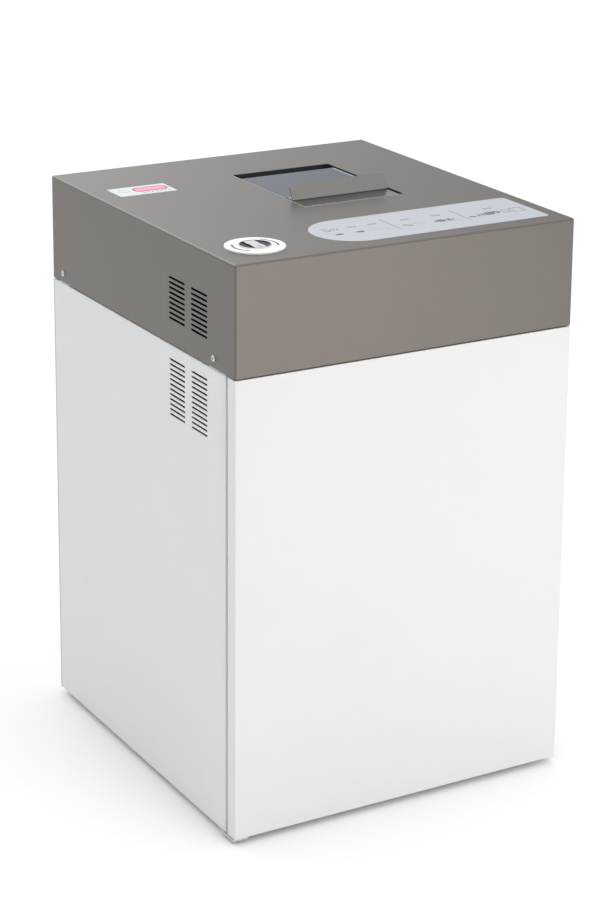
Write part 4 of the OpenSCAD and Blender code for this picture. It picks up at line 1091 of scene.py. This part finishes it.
class SHREDDER_OT_printed_strip(bpy.types.Operator):
    """Lays the pale instruction strip with plain media pictograms in growing sizes"""

    bl_idname = "shredder.printed_strip"
    bl_label = "Instruction strip"

    def execute(self, context):
        s = context.scene.shredder_sizes
        low, high = pair("instruction_strip")
        strip = block("strip_film", low, high)
        round_edges(strip, both(runs_along(Z), lies_at(X, low.x)), (high.y - low.y) / 2 - 0.05 * MM, 20)
        round_edges(strip, both(runs_along(Z), lies_at(X, high.x)), 6 * MM, 6)
        round_edges(strip, lies_at(Z, high.z), 0.1 * MM, 1)
        finish(strip, ["instruction_strip"], MATERIALS["strip_film"])
        top, ink = high.z, s.print_film

        def at(x, y):
            return low.x + x * MM, low.y + y * MM

        dark, faint = [], []
        for x in (110.7, 213.3):
            dark.append(mark("divider", *at(x, 54.5), 0.8 * MM, 55 * MM, top, ink))
        # Upper row: a small pair of signs over each group
        for x in (62, 91, 139, 185, 262):
            dark.append(ring("sign", *at(x - 3, 67), 3 * MM, 0.9 * MM, top, ink))
            dark.append(mark("sign_bar", *at(x + 3.5, 67), 4 * MM, 5 * MM, top, ink, 0.8 * MM, 0.8 * MM))
        dark.append(mark("card", *at(24, 66), 7 * MM, 15 * MM, top, ink, 1 * MM, 0.9 * MM))
        dark.append(ring("coin", *at(33, 66), 3.4 * MM, 0.9 * MM, top, ink))
        dark.append(mark("sign_bar", *at(40, 65), 3 * MM, 4 * MM, top, ink, 0.5 * MM))
        # Lower row: chips, sticks, cards and discs in growing sizes
        for x in (30, 60):
            dark.append(mark("chip", *at(x, 42), 10 * MM, 5.5 * MM, top, ink, 1.2 * MM))
            faint.append(mark("chip_shade", *at(x - 8, 42), 5 * MM, 3 * MM, top, ink))
        faint.append(mark("long_card", *at(89, 44), 24 * MM, 7 * MM, top, ink, 1.5 * MM, 0.9 * MM))
        stick = mark("stick", *at(128, 42), 13 * MM, 3.2 * MM, top, ink, 1 * MM)
        turned(stick, at(128, 42), -35)
        dark.append(stick)
        faint.append(mark("pale_card", *at(147, 44), 13 * MM, 9 * MM, top, ink, 1 * MM, 0.8 * MM))
        for step, width in enumerate((4, 8, 4, 5, 3)):
            dark.append(mark("block", *at(170 + step * 6.2, 42), width * MM, (5 + step % 2 * 4) * MM, top,
                             ink, 0.6 * MM))
        faint.append(mark("block_line", *at(184, 35), 34 * MM, 1.2 * MM, top, ink))
        dark.append(mark("flat_chip", *at(223, 40), 11 * MM, 3.5 * MM, top, ink, 1 * MM))
        for step, width in enumerate((3, 3, 5, 6)):
            dark.append(mark("growing", *at(234 + step * 6.5, 42 + step), width * MM,
                             (8 + step * 2) * MM, top, ink, 0.7 * MM))
        dark.append(ring("disc", *at(262, 46), 5.5 * MM, 3 * MM, top, ink))
        dark.append(mark("sleeve", *at(276, 45), 9 * MM, 15 * MM, top, ink, 1 * MM, 1 * MM))
        dark.append(mark("case", *at(294, 46), 17 * MM, 19 * MM, top, ink, 1.2 * MM, 1 * MM))
        finish(join("strip_marks", dark), "instruction_strip", MATERIALS["dark_ink"])
        finish(join("strip_lines", faint), "instruction_strip", MATERIALS["faint_ink"])
        return {"FINISHED"}


class SHREDDER_OT_rating_label(bpy.types.Operator):
    """Lays the silver label with a plain red outlined bar"""

    bl_idname = "shredder.rating_label"
    bl_label = "Rating label"

    def execute(self, context):
        s = context.scene.shredder_sizes
        low, high = pair("rating_label")
        label = block("label_film", low, high)
        round_edges(label, runs_along(Z), 1.5 * MM, 4)
        round_edges(label, lies_at(Z, high.z), 0.1 * MM, 1)
        finish(label, ["rating_label"], MATERIALS["silver_film"])
        top, ink = high.z, s.print_film
        x, y = low.x + 53.5 * MM, low.y + 25 * MM
        outline = mark("bar_outline", x, y, 48 * MM, 21 * MM, top, ink, 8 * MM, 2.9 * MM)
        finish(outline, "rating_label", MATERIALS["red_ink"])
        core = mark("bar_core", x, y, 42.2 * MM, 15.2 * MM, top, ink, 5.1 * MM)
        finish(core, "rating_label", MATERIALS["pink_ink"])
        dashes = [mark("dash", low.x + (38 + i * 6) * MM, low.y + 8 * MM, 3.6 * MM, 1.8 * MM, top, ink,
                       0.5 * MM) for i in range(7)]
        finish(join("label_dashes", dashes), "rating_label", MATERIALS["dark_ink"])
        grey = [ring("label_ring", low.x + 16 * MM, y, 7.5 * MM, 0.9 * MM, top, ink)]
        finish(join("label_marks", grey), "rating_label", MATERIALS["faint_ink"])
        return {"FINISHED"}


# ---- Operators: works inside ----

class SHREDDER_OT_feed_path(bpy.types.Operator):
    """Finishes the chutes that lead media to the cutters and shreds to the bin"""

    bl_idname = "shredder.feed_path"
    bl_label = "Feed path"

    def execute(self, context):
        s = context.scene.shredder_sizes
        # Painted shade: the feed chute is near black for the shade inside the deep feed opening.
        refine_all(["feed_chute"], MATERIALS["black_enamel"], s.edge_break)
        refine_all(["discharge_chute"], MATERIALS["zinc_plate"], s.edge_break)
        return {"FINISHED"}


class SHREDDER_OT_cutting_block(bpy.types.Operator):
    """Finishes the cutter shafts, discs, combs, plates, rods and bearings"""

    bl_idname = "shredder.cutting_block"
    bl_label = "Cutting block"

    def execute(self, context):
        s = context.scene.shredder_sizes
        refine_all(["front_cutters", "rear_cutters"], MATERIALS["tool_steel"], 0.12 * MM, 1)
        refine_all(["front_cutter_shaft", "rear_cutter_shaft"], MATERIALS["shaft_steel"], s.edge_break)
        refine_all(["front_stripper_comb", "rear_stripper_comb"], MATERIALS["comb_blue"], 0.2 * MM, 1)
        refine_all(["left_end_plate", "gear_plate", "outer_gear_plate"], MATERIALS["frame_paint"],
                   0.6 * MM)
        refine_all(["tie_rods", "shaft_bearings"], MATERIALS["shaft_steel"], s.edge_break)
        return {"FINISHED"}


class SHREDDER_OT_gears(bpy.types.Operator):
    """Finishes the gear wheels and the intermediate shaft"""

    bl_idname = "shredder.gears"
    bl_label = "Gears"

    def execute(self, context):
        refine_all(["front_sync_gear", "rear_sync_gear", "output_wheel", "intermediate_wheel"],
                   MATERIALS["gear_steel"], 0.25 * MM, 1)
        refine_all(["pinion_shaft"], MATERIALS["shaft_steel"], 0.25 * MM, 1)
        return {"FINISHED"}


class SHREDDER_OT_motor(bpy.types.Operator):
    """Finishes the ribbed motor, its flange, rotor, fan and fan cover"""

    bl_idname = "shredder.motor"
    bl_label = "Motor"

    def execute(self, context):
        refine_all(["motor_stator", "motor_flange"], MATERIALS["frame_paint"], 0.4 * MM, 1)
        refine_all(["motor_rotor"], MATERIALS["shaft_steel"], 0.25 * MM, 1)
        refine_all(["motor_fan"], MATERIALS["black_plastic"], 0.4 * MM, 1)
        refine_all(["fan_cover"], MATERIALS["black_plastic"], 0.5 * MM, 1)
        return {"FINISHED"}


class SHREDDER_OT_electrics(bpy.types.Operator):
    """Finishes the control board, the capacitor, and the mains inlet with its rocker"""

    bl_idname = "shredder.electrics"
    bl_label = "Electrical pieces"

    def execute(self, context):
        s = context.scene.shredder_sizes
        board = refined("control_board", 0.3 * MM, 1)
        low, high = pair("control_board")
        finish(board, ["control_board"], [MATERIALS["board_green"], MATERIALS["black_plastic"],
                                          MATERIALS["white_plastic"]])
        sheet_top = low.z + 1.7 * MM
        middle_y = (low.y + high.y) / 2
        paint(board, 1, lambda c, n: c.z > sheet_top and c.y > middle_y)
        paint(board, 2, lambda c, n: c.z > sheet_top and c.y <= middle_y)
        refine_all(["run_capacitor"], MATERIALS["zinc_plate"], 0.8 * MM, 3)
        inlet = refined("mains_inlet", 0.4 * MM, 2)
        low, high = pair("mains_inlet")
        finish(inlet, ["mains_inlet"], [MATERIALS["black_plastic"], MATERIALS["brass"]])
        middle = (low + high) / 2
        pins = lambda c, n: (abs(c.x - middle.x) < 8.2 * MM and high.y - 16 * MM < c.y < high.y - 2.8 * MM
                             and abs(c.z - middle.z + 9 * MM) < 6.5 * MM)
        paint(inlet, 1, pins)
        refine_all(["mains_rocker"], MATERIALS["black_plastic"], s.edge_break)
        return {"FINISHED"}


class SHREDDER_OT_waste_bin(bpy.types.Operator):
    """Finishes the moulded waste bin"""

    bl_idname = "shredder.waste_bin"
    bl_label = "Waste bin"

    def execute(self, context):
        refine_all(["waste_bin"], MATERIALS["bin_plastic"], 0.9 * MM, 3)
        return {"FINISHED"}


# ---- Operator: stage ----

def area_light(name, place, aim, size, energy, tint=(1, 1, 1)):
    """Soft square lamp that faces a point."""
    hold(None)
    bpy.ops.object.light_add(type="AREA", location=place)
    lamp = bpy.context.object
    lamp.name = name
    lamp.data.shape, lamp.data.size, lamp.data.energy, lamp.data.color = "SQUARE", size, energy, tint
    lamp.rotation_euler = (Vector(aim) - Vector(place)).to_track_quat("-Z", "Y").to_euler()
    lamp.visible_camera = False
    return lamp


def studio_world(ambient, glow):
    """Even surrounding light with a wide soft glow low behind the machine."""
    world = bpy.data.worlds.new("studio")
    world.use_nodes = True
    tree = world.node_tree
    at = tree.nodes.new("ShaderNodeTexCoord")
    towards = put(tree, "ShaderNodeVectorMath", {0: at.outputs["Generated"], 1: (0.034, 0.965, 0.26)},
                  operation="DOT_PRODUCT").outputs["Value"]
    soft = math_node(tree, "POWER", math_node(tree, "MAXIMUM", towards, 0.0), 15.0)
    total = math_node(tree, "ADD", math_node(tree, "MULTIPLY", soft, glow), ambient)
    background = tree.nodes["Background"]
    background.inputs["Color"].default_value = (0.97, 0.985, 1.0, 1.0)
    tree.links.new(total, background.inputs["Strength"])
    return world


def soft_sun(strength):
    """Very soft light from overhead, the same over the whole floor."""
    hold(None)
    bpy.ops.object.light_add(type="SUN", location=(0, 0, 4))
    lamp = bpy.context.object
    lamp.name = "overhead"
    lamp.data.energy, lamp.data.angle = strength, math.radians(120)
    return lamp


class SHREDDER_OT_stage(bpy.types.Operator):
    """Sets the camera, the pale floor, the soft lamps and the surrounding light"""

    bl_idname = "shredder.stage"
    bl_label = "Stage"

    def execute(self, context):
        st = context.scene.shredder_stage
        hold(None)
        bpy.ops.object.camera_add()
        camera = bpy.context.object
        yaw, pitch, roll = st.camera_yaw, st.camera_pitch, st.camera_roll
        view = Vector((math.sin(yaw) * math.cos(pitch), math.cos(yaw) * math.cos(pitch), -math.sin(pitch)))
        right = view.cross(Vector((0, 0, 1))).normalized()
        up = right.cross(view)
        side = right * math.cos(roll) + up * math.sin(roll)
        top = up * math.cos(roll) - right * math.sin(roll)
        turn = Matrix((side, top, -view)).transposed().to_4x4()
        camera.matrix_world = Matrix.Translation(Vector(st.camera_at)) @ turn
        camera.data.lens, camera.data.shift_y = st.camera_lens, st.camera_shift
        camera.data.clip_end = 200
        context.scene.camera = camera
        hold(None)
        bpy.ops.mesh.primitive_plane_add(size=st.floor_size, location=(0, 0, 0))
        floor = bpy.context.object
        floor.name = "floor"
        settle(floor)
        material, tree, shader, at = new_material("studio_floor", st.floor_colour)
        mottle = effect(tree, "mottle", vector=at.outputs["Object"], patch=0.6, amount=0.01)
        tree.links.new(toned(tree, st.floor_colour, mottle.outputs["Tone"]), shader.inputs["Base Color"])
        shader.inputs["Roughness"].default_value = 0.9
        floor.data.materials.append(material)
        aim = (0, 0, 0.4)
        soft_sun(2.1)
        area_light("key", (0.8, -2.3, 0.7), aim, 1.2, 4.8, (0.98, 0.99, 1.0))
        area_light("pool", (0.3, -2.0, 1.1), (0.3, -2.0, 0), 0.8, 14, (1.0, 0.93, 0.82))
        context.scene.world = studio_world(st.world_strength, st.glow_strength)
        context.scene.view_settings.view_transform = "Standard"
        return {"FINISHED"}


OPERATORS = (
    SHREDDER_OT_stage, SHREDDER_OT_hood, SHREDDER_OT_side_panels, SHREDDER_OT_cabinet_frame,
    SHREDDER_OT_door, SHREDDER_OT_hinges, SHREDDER_OT_screws, SHREDDER_OT_feet, SHREDDER_OT_feed_lid,
    SHREDDER_OT_switch, SHREDDER_OT_printed_strip, SHREDDER_OT_rating_label, SHREDDER_OT_feed_path,
    SHREDDER_OT_cutting_block, SHREDDER_OT_gears, SHREDDER_OT_motor, SHREDDER_OT_electrics,
    SHREDDER_OT_waste_bin,
)


class SHREDDER_PT_panel(bpy.types.Panel):
    """Lists the steps that model the shredder"""

    bl_label = "Shredder"
    bl_idname = "SHREDDER_PT_panel"
    bl_space_type = "VIEW_3D"
    bl_region_type = "UI"
    bl_category = "Shredder"

    def draw(self, context):
        for operator in OPERATORS:
            self.layout.operator(operator.bl_idname)


CLASSES = (ShredderSizes, ShredderFinish, ShredderStage, *OPERATORS, SHREDDER_PT_panel)


def register():
    """Registers the classes and hangs the settings on the scene."""
    for kind in CLASSES:
        bpy.utils.register_class(kind)
    bpy.types.Scene.shredder_sizes = PointerProperty(type=ShredderSizes)
    bpy.types.Scene.shredder_finish = PointerProperty(type=ShredderFinish)
    bpy.types.Scene.shredder_stage = PointerProperty(type=ShredderStage)


def unregister():
    """Takes the settings and classes away again."""
    del bpy.types.Scene.shredder_stage
    del bpy.types.Scene.shredder_finish
    del bpy.types.Scene.shredder_sizes
    for kind in reversed(CLASSES):
        bpy.utils.unregister_class(kind)


def main():
    """Registers the settings, builds the materials and runs every step in order."""
    register()
    build_materials(bpy.context.scene.shredder_finish)
    for operator in OPERATORS:
        family, step = operator.bl_idname.split(".")
        getattr(getattr(bpy.ops, family), step)()


if __name__ == "__main__":
    main()
